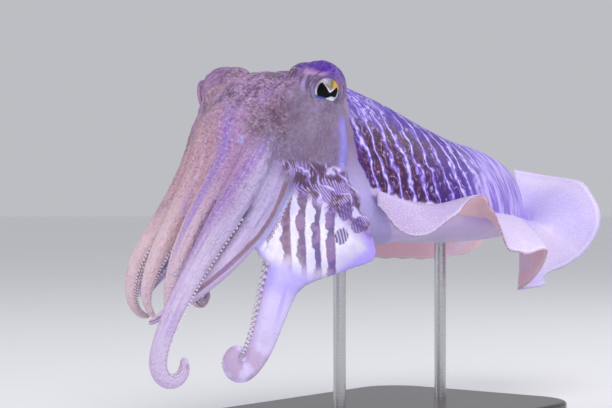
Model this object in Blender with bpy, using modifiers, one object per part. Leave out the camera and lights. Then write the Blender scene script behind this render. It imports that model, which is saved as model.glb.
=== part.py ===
"""Common cuttlefish: a life-size still model, held by a display stand.

Sizes are in millimetres. The animal is modelled in its own frame, whose origin is midway
between the eyes: +X is its left, +Y runs back to the tail and +Z is up through its back.
An empty then tips its nose up and holds it over the stand, which is modelled with the
origin at the middle of the base's underside.
"""

import math
from dataclasses import dataclass

import bmesh
import bpy
import numpy as np
from mathutils import Matrix, Quaternion, Vector

MM = 0.001
GAP = 0.3

# The pose on the stand
EYE_PLACE = (0.0, -75.0, 162.0)
NOSE_UP = 6.0

# The mantle: stations run from its rim, 0, to the tail, 1
RIM_Y = 3.0
TAIL_Y = 208.0
RIM_TOP = 10.0
RIM_SLANT = 0.22
RIM_FADE = 0.3
MANTLE_STATIONS = (0.0, 0.07, 0.24, 0.42, 0.57, 0.71, 0.86, 0.95, 1.0)
MANTLE_HALF_WIDTH = (32.0, 35.0, 41.0, 45.0, 44.0, 38.0, 26.0, 15.0, 3.0)
MANTLE_BACK = (10.0, 10.0, 6.5, -1.0, -5.0, -5.8, -9.0, -17.5, -37.0)
MANTLE_FIN_LINE = (-40.0, -43.0, -47.0, -46.0, -45.0, -44.0, -43.0, -42.0, -39.0)
MANTLE_BELLY = (-66.0, -68.0, -67.0, -61.0, -59.0, -56.0, -51.0, -47.0, -42.0)
MANTLE_SQUARENESS = 2.25
MANTLE_RINGS = 17
MANTLE_SIDES = 28
MANTLE_WALL = 3.5
RECESS_DEPTH = 9.0

# The fins: free edges that start behind the rim and run out past the tail
FIN_START = 0.09
FIN_END = 0.99
FIN_ROOT_THICK = 3.4
FIN_EDGE_THICK = 1.0
FIN_HINGE = 2.5
FIN_ARCH = 30.0
FIN_CROWDING = 1.35
FIN_RINGS = 34
FIN_STRIPS = 5

# The head: rounded forms as a place and three radii, those of the sides made left and right
HEAD_LEAN = -2.0
MIDDLE_FORMS = (
    ("skull", (-2.0, 0.0, -19.0), (29.0, 33.0, 27.5)),
    ("neck", (0.0, 20.0, -22.0), (25.0, 28.0, 24.0)),
    ("face", (0.0, -20.0, -28.0), (25.0, 22.0, 22.0)),
)
SIDE_FORMS = (
    ("dome", (27.6, -0.5, 0.0), (12.0, 12.0, 12.5)),
    ("shoulder", (20.0, -2.0, 3.8), (8.0, 9.0, 8.0)),
    ("temple", (20.0, 9.0, -9.0), (11.0, 12.0, 11.0)),
    ("bridge", (19.0, -9.0, -7.5), (12.0, 12.0, 10.0)),
    ("brow", (26.0, 0.0, -14.0), (13.5, 14.0, 14.0)),
    ("below the eye", (27.0, -2.5, -10.0), (12.0, 11.0, 8.0)),
    ("cheek", (25.5, -2.0, -27.0), (15.5, 18.0, 24.0)),
    ("jowl", (34.0, 2.0, -43.0), (9.0, 9.0, 13.0)),
    ("keel root", (39.0, 6.0, -50.0), (9.0, 7.0, 8.0)),
)
EYE_SIDE = 27.0
EYE_DOME = 13.2
EYEBALL = 9.5
EYE_FORWARD = 4.2
EYE_TURN_LEFT = 56.0
EYE_TURN_RIGHT = 72.0
EYE_DIP = 5.0
LID_RADIUS = 6.8
LID_THICK = 1.3
LID_STEPS = 20
LID_SIDES = 6
FLESH_VOXEL = 1.7
FLESH_SMOOTHING = 8
FLESH_SHARE = 0.064

# The arm crown: a ring of eight arm roots whose axis points forward and down
RING_CENTRE = Vector((0.0, -20.0, -30.0))
RING_TIP = 50.0
CROWN_PART = 2.0
CORE_SECTIONS = ((-14.0, 16.0), (0.0, 18.0), (14.0, 16.0), (26.0, 11.0), (36.0, 4.0))
CORE_SIDES = 12
ROOT_OVERLAP = 0.012
WEB_THICK = 4.0
WEB_ROWS = 9
WEB_COLUMNS = 7
WEB_REACH = 0.34
WEB_SAG = 0.35
WEB_DEEP = 0.44
WEB_DEEP_SAG = 0.06
ARM_SIDES = 10
ARM_STEPS = 64
ROOT_RINGS = 9
UPPER_RINGS = 7
TIP_RINGS = 11
PITCH_STATIONS = (0.0, 0.3, 0.6, 0.8, 1.0)
YAW_STATIONS = (0.0, 0.35, 0.7, 1.0)

# The suckers: two staggered rows on each arm's inner side, sized by the arm's breadth
SUCKER_RADIUS = 0.165
SUCKER_SPACING = 0.45
SUCKER_ASIDE = 0.45
SUCKER_LEAN = 0.35
SUCKER_PROFILE = ((-1.2, 0.75), (0.75, 1.0))
SUCKER_HOLLOW = 0.3
SUCKER_SIDES = 6
SUCKER_VARIATION = 0.1
SUCKER_SEED = 5

# The funnel under the neck
FUNNEL_BACK = Vector((0.0, 32.0, -54.5))
FUNNEL_FRONT = Vector((0.0, -4.0, -57.0))
FUNNEL_RADII = (9.0, 8.5, 6.5, 5.0)
FUNNEL_FLATNESS = 0.75
FUNNEL_SIDES = 14

# The stand
BASE_LENGTH = 200.0
BASE_WIDTH = 124.0
BASE_THICK = 10.0
BASE_CORNER = 24.0
BASE_BEVEL = 1.5
ROD_RADIUS = 3.0
ROD_PLACES = {"front": 52.0, "rear": 142.0}
ROD_SOCKET = 8.0
BASE_SOCKET = 6.0
ROD_SIDES = 24
SMOOTH_ANGLE = 40.0

CROWN_AXIS = Vector((0.0, -math.cos(math.radians(RING_TIP)), -math.sin(math.radians(RING_TIP))))
CROWN_UP = Vector((0.0, -math.sin(math.radians(RING_TIP)), math.cos(math.radians(RING_TIP))))
LEFTWARD = Vector((1.0, 0.0, 0.0))
POSE = Matrix.Translation(Vector(EYE_PLACE)) @ Matrix.Rotation(math.radians(-NOSE_UP), 4, "X")


@dataclass(frozen=True)
class ArmShape:
    """Sizes of an arm's section along it: its breadth, and how far it stands out and in."""

    breadth: tuple
    outer: tuple
    inner: tuple


@dataclass(frozen=True)
class Arm:
    """One arm: its root on the crown's ring, its bends, its shape and where it is divided."""

    name: str
    ring_angle: float
    ring_radius: float
    length: float
    pitch: tuple
    yaw: tuple
    shape: ArmShape
    free_from: float
    tip_from: float
    twist: float = 0.0


SHAPE_STATIONS = (0.0, 0.2, 0.32, 0.45, 0.6, 0.75, 0.88, 1.0)
SLIM = ArmShape(
    breadth=(15.0, 14.0, 13.0, 11.5, 9.5, 7.2, 4.8, 2.0),
    outer=(7.5, 7.0, 6.5, 5.8, 4.8, 3.6, 2.4, 1.0),
    inner=(6.5, 6.0, 5.4, 4.6, 3.7, 2.8, 1.8, 0.9),
)
LONG = ArmShape(
    breadth=(15.0, 14.5, 13.0, 10.6, 8.6, 7.2, 6.4, 3.6),
    outer=(7.5, 7.0, 6.4, 5.2, 4.2, 3.8, 3.4, 1.8),
    inner=(6.5, 6.0, 5.2, 4.2, 3.4, 3.0, 2.8, 1.6),
)
BROAD = ArmShape(
    breadth=(16.0, 16.0, 15.0, 13.5, 11.0, 8.0, 5.0, 2.0),
    outer=(7.5, 7.0, 6.5, 5.8, 4.8, 3.6, 2.4, 1.0),
    inner=(6.5, 6.0, 5.4, 4.6, 3.7, 2.8, 1.8, 0.9),
)
KEELED = ArmShape(
    breadth=(16.0, 16.0, 15.0, 14.0, 12.0, 10.0, 8.0, 4.0),
    outer=(29.0, 39.0, 27.0, 10.0, 7.4, 6.0, 4.6, 2.0),
    inner=(7.0, 7.0, 6.8, 6.2, 5.2, 4.4, 3.6, 1.8),
)

ARMS = (
    Arm("left_1", 20, 18, 103, (95, 50, 55, 74, 110), (3, 8, 6, -1), SLIM, 0.42, 0.72),
    Arm("left_2", 62, 19, 143, (59, 49, 60, 78, 301), (16, 7, -9, -22), LONG, 0.36, 0.7, 85),
    Arm("left_3", 105, 20.5, 106, (63, 52, 43, 38, 28), (8, 2, -10, -13), BROAD, 0.42, 0.72),
    Arm("left_4", 130, 36, 111.5, (58, 63, 69, 42, -190), (-20, 14, 2, 0), KEELED, 0.45, 0.74),
    Arm("right_1", -20, 18, 99, (79, 61, 55, 69, 153), (3, 2, 4, 0), SLIM, 0.42, 0.72),
    Arm("right_2", -62, 19, 98, (79, 59, 52, 88, 185), (-12, -10, -1, -1), SLIM, 0.42, 0.72),
    Arm("right_3", -105, 20, 82, (120, 70, 56, 113, 283), (-17, 14, 7, 2), SLIM, 0.42, 0.72),
    Arm("right_4", -135, 34, 79, (42, 60, 30, 44, -106), (-36, -15, 10, 3), KEELED, 0.45, 0.74),
)


def profile(stations, values):
    """A smooth function through the values at the stations, with no overshoot between them."""
    x = np.asarray(stations, float)
    y = np.asarray(values, float)
    steps = np.diff(x)
    slopes = np.diff(y) / steps
    tangents = np.zeros_like(y)
    tangents[0], tangents[-1] = slopes[0], slopes[-1]
    for i in range(1, len(x) - 1):
        before, after = slopes[i - 1], slopes[i]
        if before * after > 0:
            tangents[i] = 2 * before * after / (before + after)

    def at(s):
        i = int(np.clip(np.searchsorted(x, s) - 1, 0, len(x) - 2))
        h = steps[i]
        t = min(max((s - x[i]) / h, 0.0), 1.0)
        rise = y[i] * (1 + 2 * t) * (1 - t) ** 2 + y[i + 1] * t * t * (3 - 2 * t)
        lean = tangents[i] * t * (1 - t) ** 2 + tangents[i + 1] * t * t * (t - 1)
        return float(rise + h * lean)

    return at


def new_collection(name, parent):
    collection = bpy.data.collections.new(name)
    parent.children.link(collection)
    return collection


def clear_scene():
    for obj in list(bpy.data.objects):
        bpy.data.objects.remove(obj, do_unlink=True)


def make_material(name, colour, roughness, metallic=0.0):
    material = bpy.data.materials.new(name)
    material.use_nodes = True
    shader = material.node_tree.nodes["Principled BSDF"]
    shader.inputs["Base Color"].default_value = (*colour, 1.0)
    shader.inputs["Roughness"].default_value = roughness
    shader.inputs["Metallic"].default_value = metallic
    return material


def object_from(bm, name, collection):
    """An object made from a bmesh in millimetres, with every face pointing out."""
    bmesh.ops.triangulate(bm, faces=bm.faces[:])
    bmesh.ops.recalc_face_normals(bm, faces=bm.faces[:])
    bmesh.ops.scale(bm, vec=(MM, MM, MM), verts=bm.verts[:])
    mesh = bpy.data.meshes.new(name)
    bm.to_mesh(mesh)
    bm.free()
    obj = bpy.data.objects.new(name, mesh)
    collection.objects.link(obj)
    return obj


def loft(name, rings, collection):
    """A closed solid through rings of points; a ring of one point is a tip, others get flat caps."""
    bm = bmesh.new()
    made = [[bm.verts.new(Vector(point)) for point in ring] for ring in rings]
    for lower, upper in zip(made, made[1:]):
        count = max(len(lower), len(upper))
        for i in range(count):
            j = (i + 1) % count
            if len(upper) == 1:
                bm.faces.new((lower[i], lower[j], upper[0]))
            elif len(lower) == 1:
                bm.faces.new((lower[0], upper[j], upper[i]))
            else:
                bm.faces.new((lower[i], lower[j], upper[j], upper[i]))
    for ring in (made[0], made[-1]):
        if len(ring) > 1:
            bm.faces.new(ring)
    return object_from(bm, name, collection)


def ball(name, centre, radii, collection, segments=24, rings=14):
    """An ellipsoid with its own radius along each axis."""
    bm = bmesh.new()
    bmesh.ops.create_uvsphere(bm, u_segments=segments, v_segments=rings, radius=1.0)
    bmesh.ops.scale(bm, vec=Vector(radii), verts=bm.verts[:])
    bmesh.ops.translate(bm, vec=Vector(centre), verts=bm.verts[:])
    return object_from(bm, name, collection)


def bake(obj):
    """Replaces the object's mesh by what its modifiers make of it."""
    bpy.context.view_layer.update()
    graph = bpy.context.evaluated_depsgraph_get()
    mesh = bpy.data.meshes.new_from_object(obj.evaluated_get(graph))
    obj.modifiers.clear()
    before = obj.data
    obj.data = mesh
    bpy.data.meshes.remove(before)


def combine(obj, operation, others, solver="MANIFOLD"):
    """One Boolean of the object with all the others, which are removed once it is applied."""
    operands = new_collection("operands", bpy.context.scene.collection)
    for other in others:
        for holder in list(other.users_collection):
            holder.objects.unlink(other)
        operands.objects.link(other)
    modifier = obj.modifiers.new(operation.lower(), "BOOLEAN")
    modifier.operation = operation
    modifier.operand_type = "COLLECTION"
    modifier.collection = operands
    modifier.solver = solver
    bake(obj)
    for other in others:
        bpy.data.objects.remove(other, do_unlink=True)
    bpy.data.collections.remove(operands)
    keep_largest(obj)


def keep_largest(obj):
    """Drops every closed surface of the mesh but the one that spans the largest box."""
    bm = bmesh.new()
    bm.from_mesh(obj.data)
    left = set(bm.verts)
    bodies = []
    while left:
        front = [left.pop()]
        body = set(front)
        while front:
            for edge in front.pop().link_edges:
                for vert in edge.verts:
                    if vert in left:
                        left.discard(vert)
                        body.add(vert)
                        front.append(vert)
        bodies.append(body)

    def size(body):
        corners = np.array([vert.co for vert in body])
        return float(np.prod(np.ptp(corners, axis=0)))

    bodies.sort(key=size)
    for body in bodies[:-1]:
        bmesh.ops.delete(bm, geom=list(body), context="VERTS")
    bm.to_mesh(obj.data)
    bm.free()


def cut_flat(obj, point, normal):
    """Cuts away what lies on the normal's side of a plane and closes the cut with flat faces."""
    bm = bmesh.new()
    bm.from_mesh(obj.data)
    geometry = bm.verts[:] + bm.edges[:] + bm.faces[:]
    plane = {"plane_co": Vector(point) * MM, "plane_no": Vector(normal)}
    cut = bmesh.ops.bisect_plane(bm, geom=geometry, dist=0.02 * MM, clear_outer=True, **plane)
    rim = [item for item in cut["geom_cut"] if isinstance(item, bmesh.types.BMEdge)]
    bmesh.ops.edgenet_fill(bm, edges=rim)
    bmesh.ops.triangulate(bm, faces=bm.faces[:])
    bmesh.ops.recalc_face_normals(bm, faces=bm.faces[:])
    bm.to_mesh(obj.data)
    bm.free()


def copy_of(obj, name, collection):
    copy = bpy.data.objects.new(name, obj.data.copy())
    collection.objects.link(copy)
    return copy


# The mantle


mantle_half_width = profile(MANTLE_STATIONS, MANTLE_HALF_WIDTH)
mantle_back = profile(MANTLE_STATIONS, MANTLE_BACK)
mantle_fin_line = profile(MANTLE_STATIONS, MANTLE_FIN_LINE)
mantle_belly = profile(MANTLE_STATIONS, MANTLE_BELLY)


def mantle_y(station, z):
    """How far back a point at a station lies: the rim slants back toward the belly."""
    slant = RIM_SLANT * max(0.0, 1.0 - station / RIM_FADE)
    return RIM_Y + station * (TAIL_Y - RIM_Y) + slant * (RIM_TOP - z)


def mantle_point(station, angle, grow=0.0):
    """A point on the mantle's skin: angle 0 is the left fin line and 90 the middle of the back."""
    c, s = math.cos(math.radians(angle)), math.sin(math.radians(angle))
    power = 2.0 / MANTLE_SQUARENESS
    middle = mantle_fin_line(station)
    reach = (mantle_back(station) - middle if s > 0 else middle - mantle_belly(station)) + grow
    x = (mantle_half_width(station) + grow) * math.copysign(abs(c) ** power, c)
    z = middle + reach * math.copysign(abs(s) ** power, s)
    return Vector((x, mantle_y(station, z), z))


def mantle_rings(first, last, count, grow=0.0):
    angles = np.arange(MANTLE_SIDES) * 360.0 / MANTLE_SIDES
    stations = first + (last - first) * np.linspace(0.0, 1.0, count)
    return [[mantle_point(s, a, grow) for a in angles] for s in stations]


def make_mantle(parts, helpers):
    """The body's muscular bag, with the shallow collar that the neck sits in."""
    rings = mantle_rings(0.0, 1.0, MANTLE_RINGS)
    tail = Vector((0.0, TAIL_Y + 1.5, mantle_fin_line(1.0)))
    mantle = loft("mantle", rings + [[tail]], parts)
    depth = RECESS_DEPTH / (TAIL_Y - RIM_Y)
    recess = loft("recess", mantle_rings(-depth, depth, 3, -MANTLE_WALL), helpers)
    combine(mantle, "DIFFERENCE", [recess])
    return mantle


def make_rim_clearance(helpers):
    """What the mantle and its collar fill, grown by the gap, for cutting what sits in the collar."""
    length = TAIL_Y - RIM_Y
    depth = RECESS_DEPTH / length
    clearance = loft("clearance", mantle_rings(-GAP / length, 0.5, 9, GAP), helpers)
    inside = mantle_rings(-depth, depth - GAP / length, 3, -MANTLE_WALL - GAP)
    combine(clearance, "DIFFERENCE", [loft("inside", inside, helpers)])
    return clearance


# The fins


def sheet(name, grid, thickness, collection):
    """A closed sheet about a grid of points, its faces split into triangles alike on both sides."""
    points = np.array([[tuple(p) for p in row] for row in grid], float)
    along = np.gradient(points, axis=0)
    across = np.gradient(points, axis=1)
    normals = np.cross(along, across)
    normals /= np.linalg.norm(normals, axis=2, keepdims=True)
    offset = normals * np.asarray(thickness, float)[None, :, None] / 2
    bm = bmesh.new()
    faces = []
    for side in (points + offset, points - offset):
        faces.append([[bm.verts.new(Vector(p)) for p in row] for row in side])
    rows, columns = points.shape[:2]
    for i in range(rows - 1):
        for j in range(columns - 1):
            for number, face in enumerate(faces):
                a, b = face[i][j], face[i + 1][j]
                c, d = face[i + 1][j + 1], face[i][j + 1]
                for corners in ((a, b, c), (a, c, d)):
                    bm.faces.new(corners if number else corners[::-1])
    rim = [(i, 0) for i in range(rows)] + [(rows - 1, j) for j in range(1, columns)]
    rim += [(i, columns - 1) for i in range(rows - 2, -1, -1)]
    rim += [(0, j) for j in range(columns - 2, 0, -1)]
    for (i, j), (k, m) in zip(rim, rim[1:] + rim[:1]):
        top, low = faces
        bm.faces.new((top[i][j], top[k][m], low[k][m]))
        bm.faces.new((top[i][j], low[k][m], low[i][j]))
    return object_from(bm, name, collection)


@dataclass(frozen=True)
class Fin:
    """One fin: its width, its rise above level and its sweep back, at stations along its root."""

    name: str
    side: int
    stations: tuple
    width: tuple
    rise: tuple
    sweep: tuple


FINS = (
    Fin(
        name="fin_left",
        side=1,
        stations=(0, 0.1, 0.2, 0.3, 0.4, 0.5, 0.56, 0.63, 0.7, 0.76, 0.85, 0.93, 0.97, 1),
        width=(6, 15, 17, 18, 20, 30, 33, 35, 36, 36, 37, 40, 40, 34),
        rise=(-80, -80, -17, 22, 2, -37, -36, -28, -85, -52, -24, 16, 38, 64),
        sweep=(0, 0, 0, 0, -30, -34, -33, -22, -20, 88, 60, 40, 42, 140),
    ),
    Fin(
        name="fin_right",
        side=-1,
        stations=(0, 0.15, 0.3, 0.45, 0.61, 0.7, 0.87, 0.93, 0.97, 1),
        width=(6, 18, 20, 22, 27, 25, 24, 25, 27, 30),
        rise=(-60, -30, 10, -30, -74, -60, -57, -45, -20, 30),
        sweep=(0, 0, 0, 0, 0, 0, 10, 40, 60, 60),
    ),
)


def fin_grid(fin, rings, strips):
    """Points of the fin's middle surface, one row for each station along the fin line."""
    width = profile(fin.stations, fin.width)
    rise, sweep = profile(fin.stations, fin.rise), profile(fin.stations, fin.sweep)
    grid = []
    for t in 1.0 - np.linspace(1.0, 0.0, rings) ** FIN_CROWDING:
        station = FIN_START + (FIN_END - FIN_START) * t
        middle = mantle_fin_line(station)
        taper = (mantle_half_width(station - 0.01) - mantle_half_width(station + 0.01)) / 0.02
        off_skin = math.atan2(taper, TAIL_Y - RIM_Y)
        off_skin = Vector((math.cos(off_skin), math.sin(off_skin), 0.0))
        place = Vector((mantle_half_width(station), mantle_y(station, middle), middle))
        row = [place + off_skin * GAP, place + off_skin * (GAP + FIN_HINGE)]
        turn = math.radians(sweep(t))
        outward = Vector((math.cos(turn), math.sin(turn), 0.0))
        for j in range(strips):
            lift = math.radians(rise(t) + FIN_ARCH * (0.5 - (j + 0.5) / strips))
            slope = outward * math.cos(lift) + Vector((0, 0, math.sin(lift)))
            row.append(row[-1] + slope * width(t) / strips)
        grid.append([Vector((fin.side * p.x, p.y, p.z)) for p in row])
    return grid


def make_fin(fin, parts):
    thickness = np.linspace(FIN_ROOT_THICK, FIN_EDGE_THICK, FIN_STRIPS + 2)
    return sheet(fin.name, fin_grid(fin, FIN_RINGS, FIN_STRIPS), thickness, parts)


# The arms


def crown_radial(angle):
    """The direction out from the crown's axis at an angle round it: 0 is up, a right angle left."""
    return CROWN_UP * math.cos(angle) + LEFTWARD * math.sin(angle)


def arm_frames(arm):
    """Places, forward, outward and sideways directions along the arm, evenly spaced."""
    pitch, yaw = profile(PITCH_STATIONS, arm.pitch), profile(YAW_STATIONS, arm.yaw)
    radial = crown_radial(math.radians(arm.ring_angle))
    place = RING_CENTRE + radial * arm.ring_radius
    frames = []
    out = radial
    for i in range(ARM_STEPS + 1):
        s = i / ARM_STEPS
        p, w = math.radians(pitch(s)), math.radians(yaw(s))
        forward = Vector((math.sin(w) * math.cos(p), -math.cos(w) * math.cos(p), -math.sin(p)))
        out = (out - forward * out.dot(forward)).normalized()
        out.rotate(Quaternion(forward, math.radians(arm.twist) / ARM_STEPS))
        frames.append((place.copy(), forward, out, forward.cross(out)))
        place += forward * arm.length / ARM_STEPS
    return frames


def arm_frame(frames, s):
    """The place, forward, outward and sideways directions at s along the arm."""
    at = min(max(s, 0.0), 1.0) * ARM_STEPS
    low = min(int(at), ARM_STEPS - 1)
    return [a.lerp(b, at - low) for a, b in zip(frames[low], frames[low + 1])]


def arm_ring(arm, frames, s, grow=0.0, shift=0.0):
    """A cross-section of the arm at s, flat on the inner side that carries the suckers."""
    place, forward, out, side = arm_frame(frames, s)
    half = profile(SHAPE_STATIONS, arm.shape.breadth)(s) / 2 + grow
    outer = profile(SHAPE_STATIONS, arm.shape.outer)(s) + grow
    inner = profile(SHAPE_STATIONS, arm.shape.inner)(s) + grow
    pinch = max(0.0, 1.0 - 1.4 * half / outer)
    ring = []
    for i in range(ARM_SIDES):
        a = 2 * math.pi * (i + 0.5) / ARM_SIDES
        c, d = math.cos(a), math.sin(a)
        u = half * c * (1.0 - pinch * max(d, 0.0) ** 2)
        v = outer * d if d > 0 else -inner * abs(d) ** 0.7
        ring.append(place + forward * shift + side * u + out * v)
    return ring


def arm_length(name, arm, start, end, rings, collection, grow=0.0):
    """The stretch of an arm from start to end, its first face set back by what it grows."""
    frames = arm_frames(arm)
    sections = [arm_ring(arm, frames, start, grow, -grow)]
    sections += [arm_ring(arm, frames, s, grow) for s in np.linspace(start, end, rings)[1:]]
    return loft(name, sections, collection)


def make_sucker(arm, frames, s, aside, radius, collection):
    """One sucker: a short stalk that widens to a hollowed rim, its root sunk in the arm."""
    place, forward, out, side = arm_frame(frames, s)
    half = profile(SHAPE_STATIONS, arm.shape.breadth)(s) / 2
    inner = profile(SHAPE_STATIONS, arm.shape.inner)(s)
    foot = place + side * half * aside - out * inner * (1.0 - aside**2) ** 0.35
    axis = (side * math.copysign(SUCKER_LEAN, aside) - out).normalized()
    across = forward.cross(axis).normalized()
    along = axis.cross(across)
    rings = []
    for height, width in SUCKER_PROFILE:
        centre = foot + axis * height * radius
        rings.append([
            centre + (across * math.cos(a) + along * math.sin(a)) * radius * width
            for a in np.arange(SUCKER_SIDES) * 2 * math.pi / SUCKER_SIDES
        ])
    return loft("sucker", rings + [[foot + axis * SUCKER_HOLLOW * radius]], collection)


def add_suckers(piece, arm, start, end, helpers):
    """Fuses the suckers between two places along the arm into the piece of it that lies there."""
    frames = arm_frames(arm)
    breadth = profile(SHAPE_STATIONS, arm.shape.breadth)
    draw = np.random.default_rng([SUCKER_SEED, int(arm.ring_angle) % 360, int(100 * start)])
    suckers = []
    aside = SUCKER_ASIDE
    room = SUCKER_RADIUS * breadth(start) * (1.0 + SUCKER_VARIATION) + GAP
    s = start + room / arm.length
    while s * arm.length < end * arm.length - SUCKER_RADIUS * breadth(end) - GAP:
        radius = SUCKER_RADIUS * breadth(s) * (1.0 + SUCKER_VARIATION * draw.uniform(-1.0, 1.0))
        suckers.append(make_sucker(arm, frames, s, aside, radius, helpers))
        aside = -aside
        s += SUCKER_SPACING * breadth(s) / arm.length
    combine(piece, "UNION", suckers)


def make_web(arm_a, arm_b, reach, sag, collection):
    """A web between two neighbouring arms, its free edge curving in between them."""
    frames_a, frames_b = arm_frames(arm_a), arm_frames(arm_b)
    grid = []
    for t in np.linspace(0.0, 1.0, WEB_ROWS):
        row = []
        for k in np.linspace(0.0, 1.0, WEB_COLUMNS):
            here = reach * (1.0 - sag * math.sin(math.pi * k))
            step = int(round(here * t * ARM_STEPS))
            row.append(frames_a[step][0].lerp(frames_b[step][0], k))
        grid.append(row)
    return sheet("web", grid, [WEB_THICK] * WEB_COLUMNS, collection)


def on_head(side, distance, y, z):
    """A place on one side of the head, which leans a little to the animal's right."""
    return Vector((HEAD_LEAN + side * distance, y, z))


def make_flesh(helpers):
    """The head, neck and the arms' shared bases as one smooth closed body."""
    pieces = [ball(name, place, radii, helpers) for name, place, radii in MIDDLE_FORMS]
    for side in (1, -1):
        for name, place, radii in SIDE_FORMS:
            pieces.append(ball(name, on_head(side, *place), radii, helpers))
    core = []
    for depth, radius in CORE_SECTIONS:
        middle = RING_CENTRE + CROWN_AXIS * depth
        turns = np.arange(CORE_SIDES) * 2 * math.pi / CORE_SIDES
        core.append([middle + crown_radial(a) * radius for a in turns])
    pieces.append(loft("core", core, helpers))
    for arm in ARMS:
        end = arm.free_from + ROOT_OVERLAP
        pieces.append(arm_length("base", arm, 0.0, end, ROOT_RINGS, helpers))
    ordered = sorted(ARMS, key=lambda arm: arm.ring_angle)
    for one, other in zip(ordered, ordered[1:]):
        deep = other.name == "left_4"
        reach, sag = (WEB_DEEP, WEB_DEEP_SAG) if deep else (WEB_REACH, WEB_SAG)
        pieces.append(make_web(one, other, reach, sag, helpers))
    flesh = pieces[0]
    bm = bmesh.new()
    for piece in pieces:
        bm.from_mesh(piece.data)
    bm.to_mesh(flesh.data)
    bm.free()
    for piece in pieces[1:]:
        bpy.data.objects.remove(piece, do_unlink=True)
    remesh = flesh.modifiers.new("one skin", "REMESH")
    remesh.mode = "VOXEL"
    remesh.voxel_size = FLESH_VOXEL * MM
    smooth = flesh.modifiers.new("smooth", "SMOOTH")
    smooth.iterations = FLESH_SMOOTHING
    smooth.factor = 0.5
    bake(flesh)
    keep_largest(flesh)
    fewer = flesh.modifiers.new("fewer faces", "DECIMATE")
    fewer.ratio = FLESH_SHARE
    bake(flesh)
    keep_largest(flesh)
    return flesh


def eye_facing(side):
    turn = math.radians(EYE_TURN_LEFT if side > 0 else EYE_TURN_RIGHT)
    dip = math.radians(EYE_DIP)
    level = math.cos(dip)
    return Vector((side * math.sin(turn) * level, -math.cos(turn) * level, -math.sin(dip)))


def make_lid(side, collection):
    """The rim of skin round an eye's opening."""
    bm = bmesh.new()
    facing = eye_facing(side)
    across = facing.cross(Vector((0, 0, 1))).normalized()
    upward = across.cross(facing)
    depth = math.sqrt(EYE_DOME**2 - LID_RADIUS**2)
    centre = on_head(side, EYE_SIDE, 0, 0) + facing * depth
    rings = []
    for i in range(LID_STEPS):
        a = 2 * math.pi * i / LID_STEPS
        radial = across * math.cos(a) + upward * math.sin(a)
        rings.append([
            centre + radial * (LID_RADIUS + LID_THICK * math.cos(b)) + facing * LID_THICK * math.sin(b)
            for b in np.arange(LID_SIDES) * 2 * math.pi / LID_SIDES
        ])
    made = [[bm.verts.new(p) for p in ring] for ring in rings]
    for ring, after in zip(made, made[1:] + made[:1]):
        for j in range(LID_SIDES):
            k = (j + 1) % LID_SIDES
            bm.faces.new((ring[j], ring[k], after[k], after[j]))
    return object_from(bm, "lid", collection)


def make_eye(side, name, collection, grow=0.0):
    centre = on_head(side, EYE_SIDE, 0, 0) + eye_facing(side) * EYE_FORWARD
    radius = EYEBALL + grow
    return ball(name, centre, (radius,) * 3, collection, 18, 12)


def make_head_and_crown(parts, helpers):
    """Parts the head from the arm crown, and sets eyes and lids in the head."""
    flesh = make_flesh(helpers)
    middle = RING_CENTRE + CROWN_AXIS * CROWN_PART
    crown = copy_of(flesh, "arm_crown", parts)
    cut_flat(crown, middle + CROWN_AXIS * (GAP / 2), -CROWN_AXIS)
    keep_largest(crown)
    combine(crown, "DIFFERENCE", [
        arm_length("clearance", arm, arm.free_from, arm.tip_from, UPPER_RINGS, helpers, GAP)
        for arm in ARMS
    ])
    head = copy_of(flesh, "head", parts)
    bpy.data.objects.remove(flesh, do_unlink=True)
    cut_flat(head, middle - CROWN_AXIS * (GAP / 2), CROWN_AXIS)
    combine(head, "DIFFERENCE", [make_rim_clearance(helpers)])
    combine(head, "UNION", [make_lid(side, helpers) for side in (1, -1)])
    sockets = [make_eye(side, "socket", helpers, GAP) for side in (1, -1)]
    combine(head, "DIFFERENCE", sockets)
    eyes = [make_eye(side, name, parts) for side, name in ((1, "eye_left"), (-1, "eye_right"))]
    return head, crown, eyes


def make_free_arms(parts, helpers):
    """Each arm's free length with its suckers, in two stretches that meet face to face."""
    made = []
    for arm in ARMS:
        step = GAP / arm.length
        start, middle = arm.free_from, arm.tip_from
        upper = arm_length(f"arm_{arm.name}_upper", arm, start, middle, UPPER_RINGS, parts)
        tip = arm_length(f"arm_{arm.name}_tip", arm, middle + step, 1.0, TIP_RINGS, parts)
        add_suckers(upper, arm, start, middle, helpers)
        add_suckers(tip, arm, middle + step, 1.0, helpers)
        made += [upper, tip]
    return made


def make_funnel(parts, helpers):
    """The funnel, a tapered tube that opens forward under the head."""
    rings = []
    for i, radius in enumerate(FUNNEL_RADII):
        centre = FUNNEL_BACK.lerp(FUNNEL_FRONT, i / (len(FUNNEL_RADII) - 1))
        rings.append([
            centre + Vector((radius * math.cos(a), 0, FUNNEL_FLATNESS * radius * math.sin(a)))
            for a in np.arange(FUNNEL_SIDES) * 2 * math.pi / FUNNEL_SIDES
        ])
    funnel = loft("funnel", rings, parts)
    combine(funnel, "DIFFERENCE", [make_rim_clearance(helpers)])
    return funnel


# The stand


def cylinder(name, bottom, top, radius, collection):
    bm = bmesh.new()
    radii = {"radius1": radius, "radius2": radius}
    bmesh.ops.create_cone(bm, cap_ends=True, segments=ROD_SIDES, depth=top - bottom, **radii)
    bmesh.ops.translate(bm, vec=Vector((0, 0, (top + bottom) / 2)), verts=bm.verts[:])
    return object_from(bm, name, collection)


def belly_height(along):
    """World y of a rod that meets the belly at a body y, and the belly's height there."""
    station = (along - RIM_Y) / (TAIL_Y - RIM_Y)
    point = POSE @ mantle_point(station, -90.0)
    return point.y, point.z


def move(obj, y):
    obj.data.transform(Matrix.Translation(Vector((0, y * MM, 0))))
    return obj


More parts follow.
